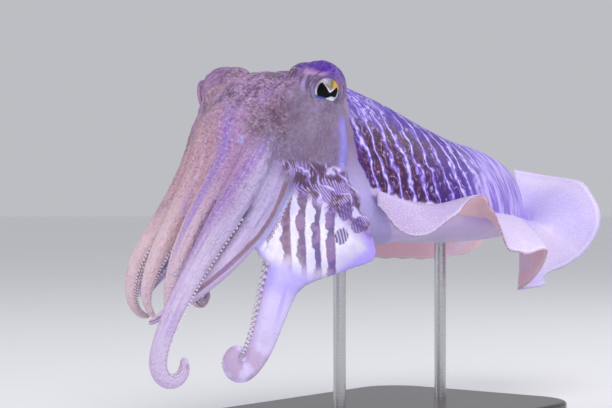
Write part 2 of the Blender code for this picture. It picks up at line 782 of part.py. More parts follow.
def make_stand(mantle, parts, helpers):
    """The base plate and its two rods, which end in flat-bottomed sockets in the belly."""
    bm = bmesh.new()
    bmesh.ops.create_cube(bm, size=1.0)
    bmesh.ops.scale(bm, vec=(BASE_WIDTH, BASE_LENGTH, BASE_THICK), verts=bm.verts[:])
    bmesh.ops.translate(bm, vec=(0, 0, BASE_THICK / 2), verts=bm.verts[:])
    upright = [e for e in bm.edges if abs(e.verts[0].co.z - e.verts[1].co.z) > BASE_THICK / 2]
    bmesh.ops.bevel(bm, geom=upright, offset=BASE_CORNER, segments=6, profile=0.5, affect="EDGES")
    rim = [e for e in bm.edges if min(v.co.z for v in e.verts) > BASE_THICK - 0.01]
    bmesh.ops.bevel(bm, geom=rim, offset=BASE_BEVEL, segments=2, profile=0.5, affect="EDGES")
    base = object_from(bm, "stand_base", parts)
    sockets, holes, rods = [], [], []
    for name, along in ROD_PLACES.items():
        y, belly = belly_height(along)
        top = belly + ROD_SOCKET
        foot = BASE_THICK - BASE_SOCKET
        rods.append(move(cylinder(f"stand_rod_{name}", foot + GAP, top - GAP, ROD_RADIUS, parts), y))
        holes.append(move(cylinder("hole", foot, BASE_THICK + 5, ROD_RADIUS + GAP, helpers), y))
        socket = move(cylinder("socket", belly - 12, top, ROD_RADIUS + GAP, helpers), y)
        socket.data.transform(Matrix.Scale(MM, 4) @ POSE.inverted() @ Matrix.Scale(1 / MM, 4))
        sockets.append(socket)
    combine(base, "DIFFERENCE", holes)
    combine(mantle, "DIFFERENCE", sockets)
    return base, rods


# Materials and assembly


def finish(objects, material):
    for obj in objects:
        obj.data.materials.clear()
        obj.data.materials.append(material)
        obj.data.shade_smooth()
        obj.data.set_sharp_from_angle(angle=math.radians(SMOOTH_ANGLE))


def main():
    clear_scene()
    scene = bpy.context.scene
    parts = new_collection("common cuttlefish", scene.collection)
    helpers = new_collection("cutters", scene.collection)
    mantle = make_mantle(parts, helpers)
    fins = [make_fin(fin, parts) for fin in FINS]
    head, crown, eyes = make_head_and_crown(parts, helpers)
    arms = make_free_arms(parts, helpers)
    funnel = make_funnel(parts, helpers)
    base, rods = make_stand(mantle, parts, helpers)
    pose = bpy.data.objects.new("body_pose", None)
    parts.objects.link(pose)
    pose.location = Vector(EYE_PLACE) * MM
    pose.rotation_euler = (math.radians(-NOSE_UP), 0.0, 0.0)
    for obj in [mantle, head, crown, funnel, *fins, *eyes, *arms]:
        obj.parent = pose
    finish([mantle], make_material("striped mantle", (0.33, 0.24, 0.42), 0.45))
    finish([head, crown, funnel], make_material("mottled skin", (0.50, 0.38, 0.42), 0.45))
    finish(arms, make_material("arm skin", (0.68, 0.52, 0.55), 0.42))
    finish(fins, make_material("fin membrane", (0.74, 0.62, 0.78), 0.40))
    finish(eyes, make_material("eye", (0.02, 0.02, 0.03), 0.08))
    finish([base], make_material("dark painted plate", (0.05, 0.05, 0.055), 0.5))
    finish(rods, make_material("steel rod", (0.6, 0.6, 0.62), 0.3, 1.0))


if __name__ == "__main__":
    main()
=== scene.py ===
"""A common cuttlefish, life size, on a plain display stand: the dressed model.

One skin of the whole animal replaces the solids of its flesh. Sizes are in millimetres in
the animal's own frame: the origin is midway between the eyes, +X is its left, +Y runs
back to the tail and +Z is up. BodyFrame turns them into metres on the stand.
"""

import logging
import math
from dataclasses import dataclass
from enum import Enum
from typing import Iterable, Sequence, Union

import bmesh
import bpy
import numpy as np
from mathutils import Matrix, Quaternion, Vector, noise
from mathutils.bvhtree import BVHTree


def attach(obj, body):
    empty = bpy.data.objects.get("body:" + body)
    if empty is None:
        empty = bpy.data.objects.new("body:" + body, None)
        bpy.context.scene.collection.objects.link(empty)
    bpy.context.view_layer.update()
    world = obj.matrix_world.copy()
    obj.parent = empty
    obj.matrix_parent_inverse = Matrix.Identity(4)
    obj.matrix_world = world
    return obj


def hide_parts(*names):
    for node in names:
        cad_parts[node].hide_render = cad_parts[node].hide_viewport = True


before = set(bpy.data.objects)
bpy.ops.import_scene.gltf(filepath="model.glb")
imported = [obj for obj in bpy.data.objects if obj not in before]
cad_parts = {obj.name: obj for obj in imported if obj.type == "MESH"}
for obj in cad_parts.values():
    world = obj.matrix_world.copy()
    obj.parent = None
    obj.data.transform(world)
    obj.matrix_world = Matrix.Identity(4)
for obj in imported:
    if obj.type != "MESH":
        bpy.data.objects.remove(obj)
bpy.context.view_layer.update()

MM = 0.001
log = logging.getLogger("cuttlefish")

Triple = tuple[float, float, float]
Colour = Triple
Pair = tuple[float, float]
Span = Pair
Numbers = tuple[float, ...]
Names = tuple[str, ...]
Piece = bpy.types.Object
Material = bpy.types.Material
Socket = bpy.types.NodeSocket
Tint = Union[Socket, Colour]
Operand = Union["Value", float]
Fed = Union["Value", Socket, Colour, float]
Values = tuple["Value", ...]

MOIST: dict[str, float] = {
    "Coat_Weight": 0.05,
    "Coat_Roughness": 0.25,
    "Specular_IOR_Level": 0.25,
}


# Frames, curves and meshes


@dataclass(frozen=True)
class BodyFrame:
    """Where the animal's own frame lies on the stand."""

    eyes: Triple = (0.0, -75.0, 162.0)
    nose_up: float = 6.0

    def matrix(self) -> Matrix:
        """Body millimetres to stand millimetres."""
        tilt = Matrix.Rotation(math.radians(-self.nose_up), 4, "X")
        return Matrix.Translation(Vector(self.eyes)) @ tilt

    def to_stand(self) -> Matrix:
        """Body millimetres to stand metres."""
        return Matrix.Scale(MM, 4) @ self.matrix()


BODY = BodyFrame()


class Profile:
    """A smooth function through values at stations, with no overshoot between them."""

    def __init__(self, stations: Sequence[float], values: Sequence[float]) -> None:
        """Works out a tangent at each station.

        Args:
            stations: Rising places along the form.
            values: The value at each place.
        """
        self.x = np.asarray(stations, float)
        self.y = np.asarray(values, float)
        slopes = np.diff(self.y) / np.diff(self.x)
        self.tangents = np.zeros_like(self.y)
        self.tangents[0], self.tangents[-1] = slopes[0], slopes[-1]
        for i in range(1, len(self.x) - 1):
            before, after = slopes[i - 1], slopes[i]
            if before * after > 0:
                self.tangents[i] = 2 * before * after / (before + after)

    def many(self, places: np.ndarray) -> np.ndarray:
        """Values at many places at once.

        Args:
            places: Where to read the curve.

        Returns:
            One value for each place.
        """
        i = np.clip(np.searchsorted(self.x, places) - 1, 0, len(self.x) - 2)
        h = self.x[i + 1] - self.x[i]
        t = np.clip((places - self.x[i]) / h, 0.0, 1.0)
        rise = self.y[i] * (1 + 2 * t) * (1 - t) ** 2 + self.y[i + 1] * t * t * (3 - 2 * t)
        lean = self.tangents[i] * t * (1 - t) ** 2 + self.tangents[i + 1] * t * t * (t - 1)
        return rise + h * lean

    def __call__(self, place: float) -> float:
        """The value at one place."""
        return float(self.many(np.asarray(place, float)))


def smooth_step(low: float, high: float, value: np.ndarray) -> np.ndarray:
    """An easing from 0 at low to 1 at high."""
    t = np.clip((np.asarray(value, float) - low) / (high - low), 0.0, 1.0)
    return t * t * (3.0 - 2.0 * t)


def select_only(*objects: Piece) -> None:
    """Selects these objects and nothing else, the first of them active.

    Args:
        objects: What to select.
    """
    bpy.ops.object.select_all(action="DESELECT")
    for obj in objects:
        obj.select_set(True)
    bpy.context.view_layer.objects.active = objects[0]


def apply_modifiers(obj: Piece) -> None:
    """Applies every modifier of the object in its order.

    Args:
        obj: The object.
    """
    select_only(obj)
    for name in [modifier.name for modifier in obj.modifiers]:
        bpy.ops.object.modifier_apply(modifier=name)


def mesh_object(name: str, points: Iterable, faces: Iterable) -> Piece:
    """An object in body millimetres with all its faces pointing out.

    Args:
        name: The object's name.
        points: Corners in millimetres.
        faces: Corner numbers of each face.

    Returns:
        The new object.
    """
    mesh = bpy.data.meshes.new(name)
    mesh.from_pydata([tuple(p) for p in points], [], [tuple(f) for f in faces])
    obj = bpy.data.objects.new(name, mesh)
    bpy.context.scene.collection.objects.link(obj)
    face_outwards(obj)
    return obj


def face_outwards(obj: Piece) -> None:
    """Turns every face of a closed mesh outwards.

    Args:
        obj: The object that has the mesh.
    """
    select_only(obj)
    bpy.ops.object.mode_set(mode="EDIT")
    bpy.ops.mesh.select_all(action="SELECT")
    bpy.ops.mesh.normals_make_consistent(inside=False)
    bpy.ops.object.mode_set(mode="OBJECT")


def turns(count: int) -> np.ndarray:
    """Evenly spaced angles round a circle, in radians."""
    return np.arange(count) * 2 * math.pi / count


def loft(name: str, rings: Sequence[np.ndarray]) -> Piece:
    """A closed solid through rings of equal count, closed by a fan at both ends.

    Args:
        name: The object's name.
        rings: Arrays of points, one ring after the other.

    Returns:
        The new object, in millimetres.
    """
    count = len(rings[0])
    points = np.concatenate([np.asarray(ring, float) for ring in rings])
    faces = []
    for r in range(len(rings) - 1):
        for i in range(count):
            j = (i + 1) % count
            faces.append((r * count + i, r * count + j, (r + 1) * count + j, (r + 1) * count + i))
    ends = np.array([rings[0].mean(axis=0), rings[-1].mean(axis=0)])
    first, last = len(points), len(points) + 1
    start = (len(rings) - 1) * count
    for i in range(count):
        j = (i + 1) % count
        faces.append((first, j, i))
        faces.append((last, start + i, start + j))
    return mesh_object(name, np.concatenate([points, ends]), faces)


def sheet(name: str, grid: np.ndarray, thickness: np.ndarray) -> Piece:
    """A closed sheet with a rounded rim about a grid of points.

    Args:
        name: The object's name.
        grid: Points as rows along the root and columns out to the edge.
        thickness: The sheet's thickness at each column.

    Returns:
        The new object, in millimetres.
    """
    along = np.gradient(grid, axis=0)
    across = np.gradient(grid, axis=1)
    normals = np.cross(along, across)
    normals /= np.linalg.norm(normals, axis=2, keepdims=True)
    offset = normals * thickness[None, :, None] / 2
    rows, columns = grid.shape[:2]
    points = np.concatenate([(grid + offset).reshape(-1, 3), (grid - offset).reshape(-1, 3)])
    low = rows * columns
    faces = []
    for i in range(rows - 1):
        for j in range(columns - 1):
            a, b = i * columns + j, (i + 1) * columns + j
            faces.append((a, b, b + 1, a + 1))
            faces.append((low + a, low + a + 1, low + b + 1, low + b))
    rim = [i * columns for i in range(rows)]
    rim += [(rows - 1) * columns + j for j in range(1, columns)]
    rim += [i * columns + columns - 1 for i in range(rows - 2, -1, -1)]
    rim += list(range(columns - 2, 0, -1))
    for a, b in zip(rim, rim[1:] + rim[:1]):
        faces.append((a, b, low + b, low + a))
    return mesh_object(name, points, faces)


def ball(name: str, centre: Vector, radii: Sequence[float], fine: int = 32) -> Piece:
    """An ellipsoid with its own radius along each axis.

    Args:
        name: The object's name.
        centre: Its middle, in millimetres.
        radii: Its radius along X, Y and Z.
        fine: How many segments go round it.

    Returns:
        The new object, in millimetres.
    """
    bpy.ops.mesh.primitive_uv_sphere_add(segments=fine, ring_count=fine // 2, radius=1.0)
    obj = bpy.context.active_object
    obj.name = name
    obj.data.transform(Matrix.Translation(centre) @ Matrix.Diagonal((*radii, 1.0)))
    return obj


def unite(body: Piece, others: Sequence[Piece], cut: bool = False) -> None:
    """Fuses other closed meshes into the body, or cuts them from it, and removes them.

    Args:
        body: The mesh that stays.
        others: The meshes that go.
        cut: Whether they are cut away instead of fused.
    """
    for other in others:
        modifier = body.modifiers.new("join", "BOOLEAN")
        modifier.operation = "DIFFERENCE" if cut else "UNION"
        modifier.object = other
        modifier.solver = "MANIFOLD"
        apply_modifiers(body)
        bpy.data.objects.remove(other, do_unlink=True)


def join(objects: Sequence[Piece]) -> Piece:
    """Joins objects into one.

    Args:
        objects: What to join.

    Returns:
        The object that holds all of their meshes.
    """
    select_only(*objects)
    bpy.ops.object.join()
    return bpy.context.active_object


def corners_of(obj: Piece, what: str = "co") -> np.ndarray:
    """Reads three numbers of each of the object's corners.

    Args:
        obj: The object.
        what: "co" for the place, or "normal" for the direction out of the surface.

    Returns:
        One row for each corner.
    """
    numbers = np.empty(len(obj.data.vertices) * 3)
    obj.data.vertices.foreach_get(what, numbers)
    return numbers.reshape(-1, 3)


def move_points(obj: Piece, points: np.ndarray) -> None:
    """Puts the object's corners at new places."""
    obj.data.vertices.foreach_set("co", np.asarray(points, np.float32).ravel())
    obj.data.update()


def write_attribute(obj: Piece, name: str, values: np.ndarray) -> None:
    """Stores three numbers at each corner for the finishes to read."""
    attribute = obj.data.attributes.new(name, "FLOAT_VECTOR", "POINT")
    attribute.data.foreach_set("vector", np.asarray(values, np.float32).ravel())


def seat(obj: Piece) -> Piece:
    """Brings a piece from body millimetres to its place and lets it ride on the model.

    Args:
        obj: The piece, in body millimetres.

    Returns:
        The same piece.
    """
    obj.data.transform(BODY.to_stand())
    obj.data.shade_smooth()
    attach(obj, "root")
    return obj


def dress(obj: Piece, *materials: Material) -> None:
    """Puts materials in the object's slots, in place of any it had.

    Args:
        obj: The object.
        materials: What goes into its slots, in order.
    """
    obj.data.materials.clear()
    for material in materials:
        obj.data.materials.append(material)


# Shader building


class Value:
    """A number from a shader socket, which adds Math nodes as it is worked with."""

    def __init__(self, nodes: "NodeMaker", socket: Socket) -> None:
        """Wraps a socket of one material."""
        self.nodes = nodes
        self.socket = socket

    def _math(self, operation: str, *values: Operand) -> "Value":
        """Adds a Math node.

        Args:
            operation: What it works out.
            values: What it works on.

        Returns:
            Its result.
        """
        inputs = {i: value for i, value in enumerate(values)}
        made = self.nodes.node("ShaderNodeMath", {"operation": operation}, inputs)
        return Value(self.nodes, made.outputs[0])

    def __add__(self, other: Operand) -> "Value":
        """This plus another."""
        return self._math("ADD", self, other)

    def __sub__(self, other: Operand) -> "Value":
        """This less another."""
        return self._math("SUBTRACT", self, other)

    def __rsub__(self, other: Operand) -> "Value":
        """Another less this."""
        return self._math("SUBTRACT", other, self)

    def __mul__(self, other: Operand) -> "Value":
        """This times another."""
        return self._math("MULTIPLY", self, other)

    def __truediv__(self, other: Operand) -> "Value":
        """This over another."""
        return self._math("DIVIDE", self, other)

    def __pow__(self, other: Operand) -> "Value":
        """This to a power."""
        return self._math("POWER", self, other)

    def __abs__(self) -> "Value":
        """This without its sign."""
        return self._math("ABSOLUTE", self)

    __radd__ = __add__
    __rmul__ = __mul__

    def fraction(self) -> "Value":
        """What is left after the whole number."""
        return self._math("FRACT", self)

    def sine(self) -> "Value":
        """The sine of this angle in radians."""
        return self._math("SINE", self)

    def least(self, other: Operand) -> "Value":
        """The lesser of this and another."""
        return self._math("MINIMUM", self, other)

    def most(self, other: Operand) -> "Value":
        """The greater of this and another."""
        return self._math("MAXIMUM", self, other)

    def root(self) -> "Value":
        """The square root of this."""
        return self._math("SQRT", self)

    def step(self, low: float, high: float) -> "Value":
        """Eases from 0 to 1.

        Args:
            low: Where it is 0.
            high: Where it is 1, which may be the lower one.

        Returns:
            A value from 0 to 1.
        """
        settings = {"interpolation_type": "SMOOTHSTEP"}
        if low < high:
            inputs = {"Value": self, "From Min": low, "From Max": high}
        else:
            inputs = {"Value": self, "From Min": high, "From Max": low, "To Min": 1.0, "To Max": 0.0}
        made = self.nodes.node("ShaderNodeMapRange", settings, inputs)
        return Value(self.nodes, made.outputs["Result"])


class NodeMaker:
    """Builds one procedural material."""

    def __init__(self, name: str) -> None:
        """Starts a material that holds only its shader and output.

        Args:
            name: The material's name.
        """
        self.material = bpy.data.materials.new(name)
        self.material.use_nodes = True
        self.tree = self.material.node_tree
        self.shader = self.tree.nodes["Principled BSDF"]

    def node(self, kind: str, settings: dict, inputs: dict) -> bpy.types.Node:
        """Adds one node.

        Args:
            kind: Its type.
            settings: Its own properties, set first.
            inputs: Values or links for its sockets, by name or number.

        Returns:
            The new node.
        """
        made = self.tree.nodes.new(kind)
        for key, value in settings.items():
            setattr(made, key, value)
        for key, value in inputs.items():
            self.feed(made.inputs[key], value)
        return made

    def feed(self, socket: Socket, value: Fed) -> None:
        """Links a value to a socket, or sets it there.

        Args:
            socket: The socket to feed.
            value: A link, a colour or a number.
        """
        if isinstance(value, Value):
            self.tree.links.new(value.socket, socket)
        elif isinstance(value, Socket):
            self.tree.links.new(value, socket)
        elif isinstance(value, tuple) and socket.type == "RGBA":
            socket.default_value = (*value, 1.0)
        else:
            socket.default_value = value

    def place(self) -> Socket:
        """The point on the piece, in metres."""
        return self.node("ShaderNodeTexCoord", {}, {}).outputs["Object"]

    def attribute(self, name: str) -> tuple[Value, Value, Value]:
        """The three numbers that a piece's corners carry under this name."""
        made = self.node("ShaderNodeAttribute", {"attribute_name": name}, {})
        return self.split(made.outputs["Vector"])

    def split(self, vector: Socket) -> tuple[Value, Value, Value]:
        """Takes a vector apart.

        Args:
            vector: The vector.

        Returns:
            Its three numbers.
        """
        made = self.node("ShaderNodeSeparateXYZ", {}, {0: vector})
        x, y, z = (Value(self, made.outputs[i]) for i in range(3))
        return x, y, z

    def vector(self, x: Operand, y: Operand, z: Operand) -> Socket:
        """A vector of three numbers."""
        return self.node("ShaderNodeCombineXYZ", {}, {0: x, 1: y, 2: z}).outputs[0]

    def noise(self, where: Socket, scale: float, detail: float = 2.0) -> Value:
        """Soft cloudy noise, from 0 to 1."""
        inputs = {"Vector": where, "Scale": scale, "Detail": detail}
        return Value(self, self.node("ShaderNodeTexNoise", {}, inputs).outputs[0])

    def cells(self, where: Socket, scale: float) -> Value:
        """The distance to the nearest of scattered points."""
        made = self.node("ShaderNodeTexVoronoi", {}, {"Vector": where, "Scale": scale})
        return Value(self, made.outputs["Distance"])

    def band(self, value: Value, middle: float, half: float, soft: float) -> Value:
        """1 within half of the middle, easing to 0 over soft."""
        return abs(value - middle).step(half + soft, half)

    def spot(self, place: Values, middle: Triple, radii: Triple, ragged: Value) -> Value:
        """A spot with a ragged border.

        Args:
            place: The place that is shaded.
            middle: The spot's middle.
            radii: Its radius along each axis.
            ragged: The noise that frays its border.

        Returns:
            1 near the middle, easing to 0 at the radii.
        """
        parts = [(p - c) / r for p, c, r in zip(place, middle, radii)]
        a, b, c = (part * part for part in parts)
        return (a + b + c + (ragged - 0.5) * 1.2).step(1.0, 0.35)

    def mix(self, factor: Operand, low: Tint, high: Tint) -> Socket:
        """Mixes two colours.

        Args:
            factor: The share of the second.
            low: The first colour.
            high: The second colour.

        Returns:
            A colour.
        """
        settings = {"data_type": "RGBA", "clamp_factor": True}
        inputs = {0: factor, 6: low, 7: high}
        return self.node("ShaderNodeMix", settings, inputs).outputs[2]

    def bump(self, height: Value, depth: float, strength: float) -> None:
        """Raises the surface.

        Args:
            height: A height from 0 to 1.
            depth: What 1 stands for, in metres.
            strength: How strongly it shows.
        """
        inputs = {"Height": height, "Distance": depth, "Strength": strength}
        made = self.node("ShaderNodeBump", {}, inputs)
        self.feed(self.shader.inputs["Normal"], made.outputs[0])

    def set(self, **inputs: Fed) -> None:
        """Sets or links the shader's own sockets; an underscore stands for a space."""
        for key, value in inputs.items():
            self.feed(self.shader.inputs[key.replace("_", " ")], value)


class Layer(Enum):
    """The flesh's three finishes, by their place in the skin's material slots."""

    MANTLE = 0
    LIMBS = 1
    FIN = 2


@dataclass(frozen=True)
class MantleFinish:
    """Dark bars with thin pale wavy lines between them, a grey lip in front, violet behind.

    A span holds the two values between which a feature fades in. Lengths are millimetres
    back from the rim, and heights run from the back's ridge, 0, to the fin line, 1.
    """

    period: float = 9.7
    lean: float = 26.0
    lean_from: float = 0.58
    first_line: float = 2.6
    fine_scale: float = 420.0
    grain_scale: float = 1050.0
    gap_scale: float = 210.0
    relief: float = 0.0006
    roughness: float = 0.45
    upper: Span = (0.66, 0.44)
    ridge: Span = (0.22, 0.06)
    net_end: Span = (66.0, 44.0)
    rear_start: Span = (108.0, 142.0)
    belly_start: Span = (0.955, 0.985)
    lip_end: Span = (12.0, 10.4)
    lip_shade: Span = (16.0, 12.0)
    flank_width: Span = (0.48, 0.86)
    line_width: Span = (0.76, 0.92)
    core_width: Span = (0.88, 1.06)
    dark: Colour = (0.055, 0.016, 0.07)
    brown: Colour = (0.20, 0.06, 0.11)
    violet: Colour = (0.075, 0.02, 0.34)
    flank: Colour = (0.22, 0.12, 0.68)
    pale: Colour = (0.50, 0.41, 0.93)
    bright: Colour = (0.78, 0.70, 0.98)
    rose: Colour = (0.50, 0.32, 0.62)
    tan: Colour = (0.50, 0.28, 0.26)
    lip: Colour = (0.26, 0.175, 0.31)
    # The lip's lower part, brightened with painted light where it lies in shade.
    lip_low: Colour = (0.54, 0.47, 0.86)
    rear_dark: Colour = (0.27, 0.17, 0.70)
    rear_pale: Colour = (0.58, 0.46, 0.98)
    # The belly's pale tones, raised with painted light against the shade under the body.
    belly: Colour = (0.69, 0.56, 0.94)
    belly_pale: Colour = (0.80, 0.66, 0.98)

    def material(self) -> Material:
        """Builds the finish.

        Returns:
            The material.
        """
        m = NodeMaker("striped mantle skin")
        along, down, side = m.attribute("mantle")
        where = m.place()
        wander = m.noise(m.vector(along * 0.035, down * 1.5, side), 3.2, 2.0) - 0.5
        wiggle = m.noise(m.vector(along * 0.09, down * 8.0, side * 3.0), 1.5, 3.0) - 0.5
        width = m.noise(m.vector(along * 0.1, down * 7.0, side), 2.4, 2.0) - 0.5
        fine = m.noise(where, self.fine_scale, 3.0)
        grain = m.cells(where, self.grain_scale)
        shifted = along - (down - self.lean_from).most(0.0) * self.lean
        upper = (down + wander * 0.3).step(*self.upper)
        bars = self.bars(m, (along, shifted), (wander, wiggle, width, fine, grain), upper)
        net = self.net(m, (along, down, side), wiggle, fine)
        front = (along + down * 34.0 + wander * 22.0).step(*self.net_end) * upper
        skin = m.mix(front * 0.85, bars, net)
        skin = m.mix((down + wander * 0.25).step(*self.ridge) * 0.5, skin, self.rose)
        streak = m.noise(m.vector(shifted * 0.085, down * 1.1, side), 3.4, 3.0)
        streaks = m.mix(streak.step(0.40, 0.60), self.rear_dark, self.rear_pale)
        streaks = m.mix(m.noise(where, 40.0).step(0.55, 0.75) * 0.5, streaks, self.rose)
        rear = (along + wander * 34.0 + down * 26.0).step(*self.rear_start)
        skin = m.mix(rear, skin, streaks)
        tip = (along + wander * 14.0).step(30.0, 14.0) * (down + wander * 0.2).step(0.40, 0.22)
        skin = m.mix(tip * 0.8, skin, self.tan)
        scallop = down - width * 0.06 + wiggle * 0.05
        # The pale belly, brightened with painted light where it lies in shade.
        under = m.mix(m.noise(where, 46.0).step(0.4, 0.7), self.belly, self.belly_pale)
        skin = m.mix(scallop.step(*self.belly_start), skin, under)
        skin = self.lipped(m, skin, (along, down), (wander, wiggle))
        m.set(Base_Color=skin, Roughness=self.roughness, **MOIST)
        m.bump(fine * 0.6 + grain * 0.3 + wiggle * 0.4, self.relief, 0.8)
        return m.material

    def bars(self, m: NodeMaker, lengths: Values, noises: Values, upper: Value) -> Socket:
        """The dark bars, and the pale lines with blue-violet flanks between them.

        Args:
            m: The material's nodes.
            lengths: Distance back from the rim, plain and shifted as the lines lean.
            noises: Slow and quick wandering, the lines' width, fine noise and grain.
            upper: 1 on the upper part of the side.

        Returns:
            A colour.
        """
        along, shifted = lengths
        wander, wiggle, width, fine, grain = noises
        phase = (shifted + wander * 12.0 + wiggle * 7.0 - self.first_line) / self.period
        broad = width * 0.4 + along.step(70.0, 125.0) * 0.26 + (fine - 0.5) * 0.38
        near = abs(phase.fraction() - 0.5) * 2.0 + broad
        line = near.step(*self.line_width)
        twig = abs((phase * 1.9 + wander * 4.0 + 0.3).fraction() - 0.5) * 2.0
        twig = (twig + (fine - 0.5) * 0.5).step(0.78, 0.98) * width.step(-0.08, 0.05)
        bar = m.mix(grain.step(0.28, 0.6) * fine.step(0.44, 0.62), self.dark, self.brown)
        farther = (along + wander * 24.0).step(48.0, 92.0)
        bar = m.mix(upper.most(farther * 0.75), bar, self.violet)
        bar = m.mix(fine.step(0.60, 0.72) * 0.3, bar, self.flank)
        skin = m.mix(near.step(*self.flank_width) * 0.85, bar, self.flank)
        broken = m.noise(m.place(), self.gap_scale, 3.0).step(0.36, 0.50) * 0.75 + 0.25
        skin = m.mix(line.most(twig * 0.75) * broken, skin, self.pale)
        core = near.step(*self.core_width) * broken * fine.step(0.36, 0.56)
        return m.mix(core * (1.0 - upper * 0.5), skin, self.bright)

    def net(self, m: NodeMaker, place: Values, wiggle: Value, fine: Value) -> Socket:
        """Pale dots and short dashes on deep violet, over the shoulder of the mantle.

        Args:
            m: The material's nodes.
            place: Distance back, height and side.
            wiggle: Quick wandering.
            fine: Fine noise.

        Returns:
            A colour.
        """
        along, down, side = place
        where = m.vector(along * 0.62 + wiggle * 4.0, down * 21.0 + wiggle * 3.0, side)
        near = m.cells(where, 1.0) + (fine - 0.5) * 0.5
        skin = m.mix(near.step(0.80, 0.52), self.violet, self.flank)
        skin = m.mix(near.step(0.50, 0.34), skin, self.pale)
        skin = m.mix(near.step(0.30, 0.2), skin, self.bright)
        return m.mix(fine.step(0.58, 0.68) * 0.6, skin, self.dark)

    def lipped(self, m: NodeMaker, skin: Socket, place: Values, noises: Values) -> Socket:
        """Adds the plain grey lip along the mantle's front edge, paler below with painted light.

        Args:
            m: The material's nodes.
            skin: The colour so far.
            place: Distance back and height.
            noises: Slow and quick wandering.

        Returns:
            A colour.
        """
        along, down = place
        wander, wiggle = noises
        edge = along - (down - 0.84).most(0.0) * 58.0 - (0.62 - down).most(0.0) * 34.0
        edge = edge + wiggle * 4.0
        # Paler below: painted light against the shade on the lip's lower part.
        lip = m.mix((down + wander * 0.1).step(0.72, 1.08), self.lip, self.lip_low)
        skin = m.mix(edge.step(*self.lip_shade) * 0.5 * down.step(1.0, 0.9), skin, self.violet)
        return m.mix(edge.step(*self.lip_end) * down.step(0.28, 0.36), skin, lip)


